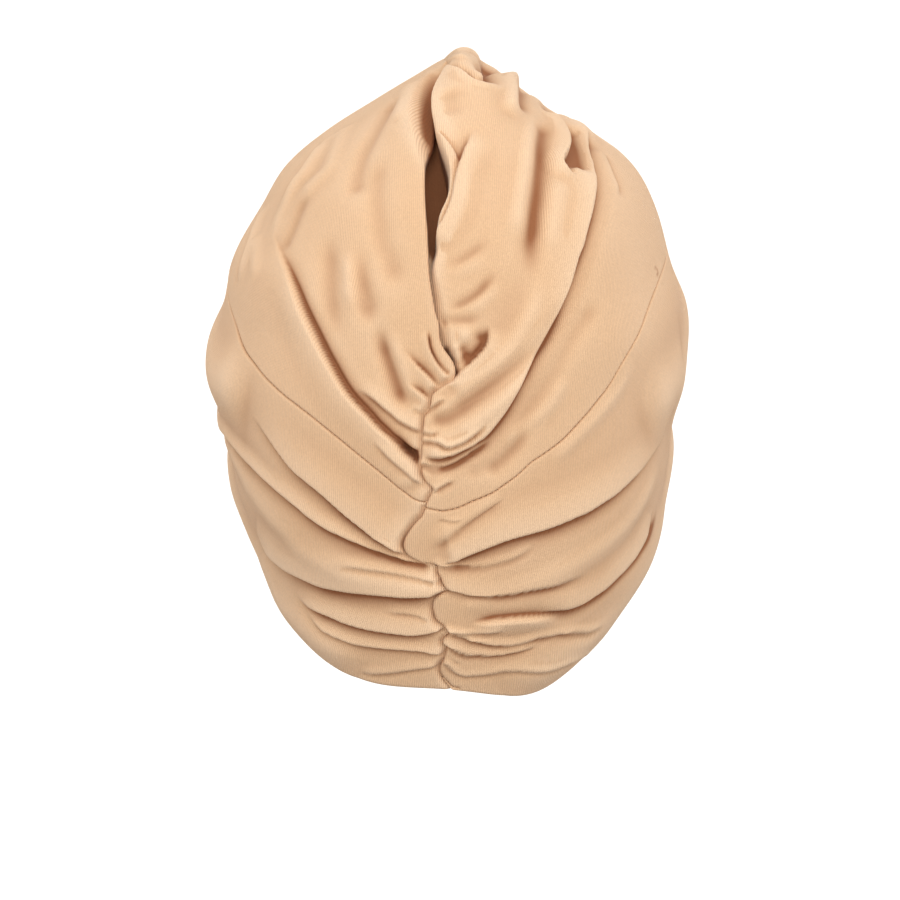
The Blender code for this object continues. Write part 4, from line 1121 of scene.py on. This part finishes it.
def spun_thread(name, look):
    """Polyester sewing thread, a shade deeper than the cloth, with a faint gloss."""
    material, tree, shader = principled(name, {"Roughness": THREAD_ROUGHNESS})
    place = add_node(tree, "ShaderNodeTexCoord").outputs["Object"]
    twist = add_node(tree, "ShaderNodeTexNoise", inputs={"Vector": place, "Scale": 1 / FIBRE_SIZE})
    coloured = add_node(tree, "ShaderNodeMix", {"data_type": "RGBA"},
                        {0: twist.outputs[0], 6: (*look.thread, 1), 7: (*look.shade, 1)})
    tree.links.new(coloured.outputs[2], shader.inputs["Base Color"])
    return material


def found_material(name, maker, *settings):
    """A material that one maker function makes once."""
    return bpy.data.materials.get(name) or maker(name, *settings)


def stitch_tree():
    """Geometry Nodes that lay short stitches along a line."""
    tree = bpy.data.node_groups.new("stitches_along_line", "GeometryNodeTree")
    tree.interface.new_socket("Line", in_out="INPUT", socket_type="NodeSocketGeometry")
    for name in ("Spacing", "Length", "Thickness"):
        tree.interface.new_socket(name, in_out="INPUT", socket_type="NodeSocketFloat")
    tree.interface.new_socket("Thread", in_out="INPUT", socket_type="NodeSocketMaterial")
    tree.interface.new_socket("Stitches", in_out="OUTPUT", socket_type="NodeSocketGeometry")
    given = add_node(tree, "NodeGroupInput").outputs
    curve = add_node(tree, "GeometryNodeMeshToCurve", inputs={0: given["Line"]})
    even = add_node(tree, "GeometryNodeResampleCurve", {"mode": "LENGTH"},
                    {"Curve": curve.outputs[0], "Length": given["Spacing"]})
    along = add_node(tree, "GeometryNodeInputTangent")
    turned = add_node(tree, "FunctionNodeAlignRotationToVector", {"axis": "X"}, {"Vector": along.outputs[0]})
    size = add_node(tree, "ShaderNodeCombineXYZ",
                    inputs={0: given["Length"], 1: given["Thickness"], 2: given["Thickness"]})
    stitch = add_node(tree, "GeometryNodeMeshUVSphere", inputs={
        "Segments": STITCH_SEGMENTS, "Rings": STITCH_RINGS, "Radius": 0.5})
    laid = add_node(tree, "GeometryNodeInstanceOnPoints", inputs={
        "Points": even.outputs[0], "Instance": stitch.outputs[0], "Rotation": turned.outputs[0],
        "Scale": size.outputs[0]})
    real = add_node(tree, "GeometryNodeRealizeInstances", inputs={0: laid.outputs[0]})
    soft = add_node(tree, "GeometryNodeSetShadeSmooth", inputs={"Geometry": real.outputs[0]})
    coloured = add_node(tree, "GeometryNodeSetMaterial",
                        inputs={"Geometry": soft.outputs[0], "Material": given["Thread"]})
    result = add_node(tree, "NodeGroupOutput")
    tree.links.new(coloured.outputs[0], result.inputs[0])
    return tree


def stitched(name, line, sewing, thread):
    """A piece of stitches along a line of points, in metres."""
    mesh = bpy.data.meshes.new(name + "_line")
    mesh.from_pydata(line.tolist(), [(index, index + 1) for index in range(len(line) - 1)], [])
    guide = linked(name + "_guide", mesh)
    tree = bpy.data.node_groups.get("stitches_along_line") or stitch_tree()
    modifier = guide.modifiers.new("stitches", "NODES")
    modifier.node_group = tree
    values = {"Spacing": sewing.stitch_spacing, "Length": sewing.stitch_length,
              "Thickness": sewing.thread_thickness, "Thread": thread}
    for socket in tree.interface.items_tree:
        if socket.name in values:
            modifier[socket.identifier] = values[socket.name]
    evaluated = guide.evaluated_get(bpy.context.evaluated_depsgraph_get())
    result = bpy.data.meshes.new_from_object(evaluated)
    bpy.data.objects.remove(guide)
    return linked(name, result)


def seam_surface(turban, line, below, above, sunk):
    """Points along a seam, in metres, sunk below the cloth on its two sides."""
    low, points_at, normals_at = turban.relief(below, line)
    high = turban.relief(above, line)[0]
    return placed(points_at + normals_at * ((low + high) / 2 - sunk)[:, None])


def add_tape(name, turban, line, below, above, sewing, material):
    """The seam allowance: a narrow closed strip of cloth under a seam."""
    run = np.gradient(line, axis=0)
    aside = np.stack([-run[:, 1], run[:, 0]], axis=1)
    aside /= np.linalg.norm(aside, axis=1, keepdims=True)
    half = sewing.tape_width / MM / 2
    points = []
    for depth in (TAPE_DEPTH, TAPE_DEPTH + TAPE_WALL):
        for shift in (-half, 0, half):
            points.append(seam_surface(turban, line + aside * shift, below, above, depth))
    count = len(line)
    # The columns of points in their order round the strip's section
    ring = (0, 1, 2, 5, 4, 3)
    faces = []
    for index in range(count - 1):
        for here, after in zip(ring, ring[1:] + ring[:1]):
            faces.append((here * count + index, after * count + index,
                          after * count + index + 1, here * count + index + 1))
    faces.append(tuple(column * count for column in reversed(ring)))
    faces.append(tuple(column * count + count - 1 for column in ring))
    return linked(name, smooth_mesh(name, np.vstack(points), faces, material))


def length_setting(name, description, default):
    """A size that a user can change, in metres."""
    return bpy.props.FloatProperty(name=name, description=description, default=default, unit="LENGTH")


def colour_setting(name, description, default):
    """A colour that a user can change, given by its hex value."""
    return bpy.props.FloatVectorProperty(
        name=name, description=description, default=linear(default), subtype="COLOR")


def share_setting(name, description, default):
    """A share from 0 to 1 that a user can change."""
    return bpy.props.FloatProperty(name=name, description=description, default=default, min=0, max=1)


class TurbanCloth(bpy.types.PropertyGroup):
    """Sizes of the cloth."""

    band_wall: length_setting("Band wall", "Thickness of a band's cloth", 0.0020)
    crown_wall: length_setting("Crown wall", "Thickness of a crown's cloth", 0.0017)
    edge_roll: length_setting("Edge roll", "Radius of a free edge's roll", 0.0016)
    rim_roll: length_setting("Rim roll", "Radius of the rim's roll", 0.0020)
    seam_roll: length_setting("Seam roll", "Radius of the cloth beside a seam", 0.0010)
    seam_gap: length_setting("Seam gap", "Distance of each sheet from its seam", 0.0001)
    wale: length_setting("Wale", "Width of one column of knit stitches", 0.0008)
    course: length_setting("Course", "Height of one row of knit stitches", 0.0006)


class TurbanSewing(bpy.types.PropertyGroup):
    """Sizes of the sewing."""

    stitch_spacing: length_setting("Stitch spacing", "From one stitch to the next", 0.0024)
    stitch_length: length_setting("Stitch length", "Length of one stitch", 0.0016)
    thread_thickness: length_setting("Thread thickness", "Thickness of the thread", 0.0003)
    tape_width: length_setting("Tape width", "Width of the seam allowance inside", 0.008)


class TurbanLook(bpy.types.PropertyGroup):
    """Colours and finish of the cloth and the thread, with the painted shade and painted highlight of its
    folds.
    """

    cloth: colour_setting("Cloth", "The jersey's colour", "#EAC5A0")
    shade: colour_setting("Shade", "The jersey where it took more dye", "#E4BB92")
    # Painted shade: the colour that folds, laps and the pocket are painted toward
    crease: colour_setting("Crease", "How the jersey's colour deepens in a fold", "#956848")
    # Painted highlight: the colour that ridges are painted toward
    ridge: colour_setting("Ridge", "The jersey on a ridge", "#FADCBC")
    thread: colour_setting("Thread", "The sewing thread's colour", "#B9885F")
    # How far ridges are painted in highlight
    painted_highlight_strength: share_setting("Paleness", "How far a ridge takes the ridge colour", 0.5)
    # How far folds are painted in shade
    painted_shade_strength: share_setting("Warmth", "How far a fold takes the crease colour", 0.9)
    sheen: share_setting("Sheen", "Soft glow of the fibre ends", 0.2)
    # How light the painted shade in a groove between wales leaves it
    groove_shade_lightness: share_setting("Line depth", "How light the groove between two wales stays", 0.9)
    knit_strength: share_setting("Knit strength", "How much the wales show", 0.6)


class TurbanStage(bpy.types.PropertyGroup):
    """The studio: its camera, its lights and its floor."""

    view_width: length_setting("View width", "Width of the picture at the hat", 0.36)
    lens: bpy.props.FloatProperty(
        name="Lens", description="Focal length in millimetres", default=600, unit="CAMERA")
    floor_drop: length_setting("Floor drop", "From the rim down to the floor", 0.30)
    floor: colour_setting("Floor", "The floor's colour", "#FAFAFA")
    sky_above: colour_setting("Sky above", "Colour of the light from overhead", "#FFFCF8")
    sky_below: colour_setting("Sky below", "Colour of the light from below", "#7C6E62")
    sky_strength: bpy.props.FloatProperty(
        name="Sky strength", description="Light from all around", default=1.17)
    key_strength: bpy.props.FloatProperty(
        name="Key strength", description="Strength of the main soft light", default=1.0)
    key_softness: bpy.props.FloatProperty(
        name="Key softness", description="How wide the main soft light is", default=math.radians(50),
        unit="ROTATION")


def show_cloth(context, name, sheet, node):
    """Make one cloth sheet, in place of its solid."""
    cloth = context.scene.turban_cloth
    turban = Turban()
    side = "left" if sheet in (BL, CL) else "right"
    gap = cloth.seam_gap / MM
    grid = (turban.band_grid if sheet in (BL, BR) else turban.crown_grid)(side, gap, gap)
    if side == "left":
        grid = grid[::-1]
    height, points_at, normals_at = turban.relief(sheet, grid.reshape(-1, 2))
    height = evened(height.reshape(grid.shape[:2]), EVENING_PASSES).reshape(-1)
    height = turban.rolled(sheet, height, points_at, normals_at, cloth)
    wall = (cloth.band_wall if sheet in (BL, BR) else cloth.crown_wall) / MM
    jersey = found_material("combed_cotton_jersey", cotton_jersey, cloth, context.scene.turban_look)
    shadow = shadowed(turban.form, sheet, points_at, normals_at)
    piece = add_sheet(name, turban.form, grid, height, shadow, points_at, normals_at, wall, jersey)
    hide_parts(node)
    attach(piece, BODY)
    return {"FINISHED"}


class TURBAN_OT_left_band(bpy.types.Operator):
    """Make the pleated band on the left, which tucks in under the right one at the back"""

    bl_idname = "turban.left_band"
    bl_label = "Left Band"

    def execute(self, context):
        return show_cloth(context, "left_band_cloth", BL, "band_left")


class TURBAN_OT_right_band(bpy.types.Operator):
    """Make the pleated band on the right, which laps over the left one at the back"""

    bl_idname = "turban.right_band"
    bl_label = "Right Band"

    def execute(self, context):
        return show_cloth(context, "right_band_cloth", BR, "band_right")


class TURBAN_OT_left_crown(bpy.types.Operator):
    """Make the draped crown on the left, whose hem lies over the right crown's puff"""

    bl_idname = "turban.left_crown"
    bl_label = "Left Crown"

    def execute(self, context):
        return show_cloth(context, "left_crown_cloth", CL, "crown_left")


class TURBAN_OT_right_crown(bpy.types.Operator):
    """Make the draped crown on the right, with its long sweep and the deep pocket at the back"""

    bl_idname = "turban.right_crown"
    bl_label = "Right Crown"

    def execute(self, context):
        return show_cloth(context, "right_crown_cloth", CR, "crown_right")


class TURBAN_OT_seams(bpy.types.Operator):
    """Make the stitches and the seam allowances of the seams"""

    bl_idname = "turban.seams"
    bl_label = "Seams"

    def execute(self, context):
        scene = context.scene
        turban = Turban()
        jersey = found_material("combed_cotton_jersey", cotton_jersey, scene.turban_cloth, scene.turban_look)
        thread = found_material("spun_polyester_thread", spun_thread, scene.turban_look)
        seams = {
            "left_seam": (turban.seams["left"], BL, CL, "band_jersey"),
            "right_seam": (turban.seams["right"], BR, CR, "band_jersey"),
            "front_band_seam": (turban.front, BL, BR, "band_jersey"),
        }
        for name, (line, below, above, slot) in seams.items():
            tape = add_tape(name + "_allowance", turban, line, below, above, scene.turban_sewing, jersey)
            sunk = seam_surface(turban, line, below, above, STITCH_DEPTH)
            stitches = stitched(name + "_stitches", sunk, scene.turban_sewing, thread)
            for piece in (tape, stitches):
                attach(piece, BODY)
        return {"FINISHED"}


class TURBAN_OT_stage(bpy.types.Operator):
    """Make the floor, the lights and the camera"""

    bl_idname = "turban.stage"
    bl_label = "Stage"

    def execute(self, context):
        stage = context.scene.turban_stage
        aim = Vector(AIM) * MM
        add_floor(stage)
        add_camera(context, stage, aim)
        add_sun(stage)
        add_sky(context, stage)
        context.scene.view_settings.view_transform = "Standard"
        return {"FINISHED"}


def add_floor(stage):
    """A wide pale floor, well below the hat, which a head would hold up.

    It throws no light back on the cloth, whose underside is then lit by the dimmer sky from below.
    """
    # Uncoated background paper, quite matte, which reads as an even white
    material = principled("matte_white_paper", {
        "Base Color": (*stage.floor, 1), "Roughness": 1.0, "Specular IOR Level": 0.0})[0]
    half = FLOOR_WIDTH / 2
    level = CAD_BOUNDS[0][2] - stage.floor_drop
    corners = [(-half, -half, level), (half, -half, level), (half, half, level), (-half, half, level)]
    mesh = bpy.data.meshes.new("floor")
    mesh.from_pydata(corners, [], [(0, 1, 2, 3)])
    mesh.materials.append(material)
    floor = linked("floor", mesh)
    floor.visible_diffuse = False


def add_camera(context, stage, aim):
    """A long lens behind the hat, a little above it."""
    camera = bpy.data.cameras.new("camera")
    camera.lens = stage.lens
    camera.sensor_width = SENSOR_WIDTH
    distance = stage.view_width * stage.lens / SENSOR_WIDTH
    back = Vector((0, math.cos(VIEW_TILT), math.sin(VIEW_TILT)))
    nearest = aim + back * NEAR_PLANE * MM
    holder = linked("camera", camera)
    holder.location = nearest + back * distance
    holder.rotation_euler = (-back).to_track_quat("-Z", "Y").to_euler()
    camera.clip_end = CLIP_END
    context.scene.camera = holder


def add_sky(context, stage):
    """Even light from all around, brighter overhead and dimmer from below."""
    world = bpy.data.worlds.new("studio")
    world.use_nodes = True
    tree = world.node_tree
    background = tree.nodes["Background"]
    place = add_node(tree, "ShaderNodeTexCoord")
    parts = add_node(tree, "ShaderNodeSeparateXYZ", inputs=(place.outputs["Generated"],))
    risen = add_node(tree, "ShaderNodeMapRange", {"interpolation_type": "SMOOTHSTEP"},
                     (parts.outputs[2], *SKY_RISE, 0.0, 1.0))
    sky = add_node(tree, "ShaderNodeMix", {"data_type": "RGBA"},
                   {0: risen.outputs[0], 6: (*stage.sky_below, 1), 7: (*stage.sky_above, 1)})
    tree.links.new(sky.outputs[2], background.inputs["Color"])
    background.inputs["Strength"].default_value = stage.sky_strength
    context.scene.world = world


def add_sun(stage):
    """A very wide soft light from above and behind the camera."""
    light = bpy.data.lights.new("soft_key", "SUN")
    light.energy = stage.key_strength
    light.angle = stage.key_softness
    holder = linked("soft_key", light)
    holder.rotation_euler = (-Vector(KEY_FROM)).to_track_quat("-Z", "Y").to_euler()


class TURBAN_PT_panel(bpy.types.Panel):
    """Lists the hat's sizes, colours and pieces."""

    bl_label = "Turban"
    bl_idname = "TURBAN_PT_panel"
    bl_space_type = "VIEW_3D"
    bl_region_type = "UI"
    bl_category = "Turban"

    def draw(self, context):
        layout = self.layout
        for group in (context.scene.turban_cloth, context.scene.turban_sewing, context.scene.turban_look,
                      context.scene.turban_stage):
            box = layout.box()
            for name in group.__annotations__:
                box.prop(group, name)
        for step in STEPS:
            layout.operator(step.bl_idname)


GROUPS = {
    "turban_cloth": TurbanCloth,
    "turban_sewing": TurbanSewing,
    "turban_look": TurbanLook,
    "turban_stage": TurbanStage,
}
STEPS = (
    TURBAN_OT_left_band,
    TURBAN_OT_right_band,
    TURBAN_OT_left_crown,
    TURBAN_OT_right_crown,
    TURBAN_OT_seams,
    TURBAN_OT_stage,
)


def register():
    """Register every class, and hang the settings on the scene."""
    for kind in (*GROUPS.values(), *STEPS, TURBAN_PT_panel):
        bpy.utils.register_class(kind)
    for name, group in GROUPS.items():
        setattr(bpy.types.Scene, name, bpy.props.PointerProperty(type=group))


def unregister():
    """Undo what register did."""
    for name in GROUPS:
        delattr(bpy.types.Scene, name)
    for kind in reversed((*GROUPS.values(), *STEPS, TURBAN_PT_panel)):
        bpy.utils.unregister_class(kind)


def main():
    """Register the add-on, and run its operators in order."""
    register()
    bpy.ops.turban.left_band()
    bpy.ops.turban.right_band()
    bpy.ops.turban.left_crown()
    bpy.ops.turban.right_crown()
    bpy.ops.turban.seams()
    bpy.ops.turban.stage()


if __name__ == "__main__":
    main()
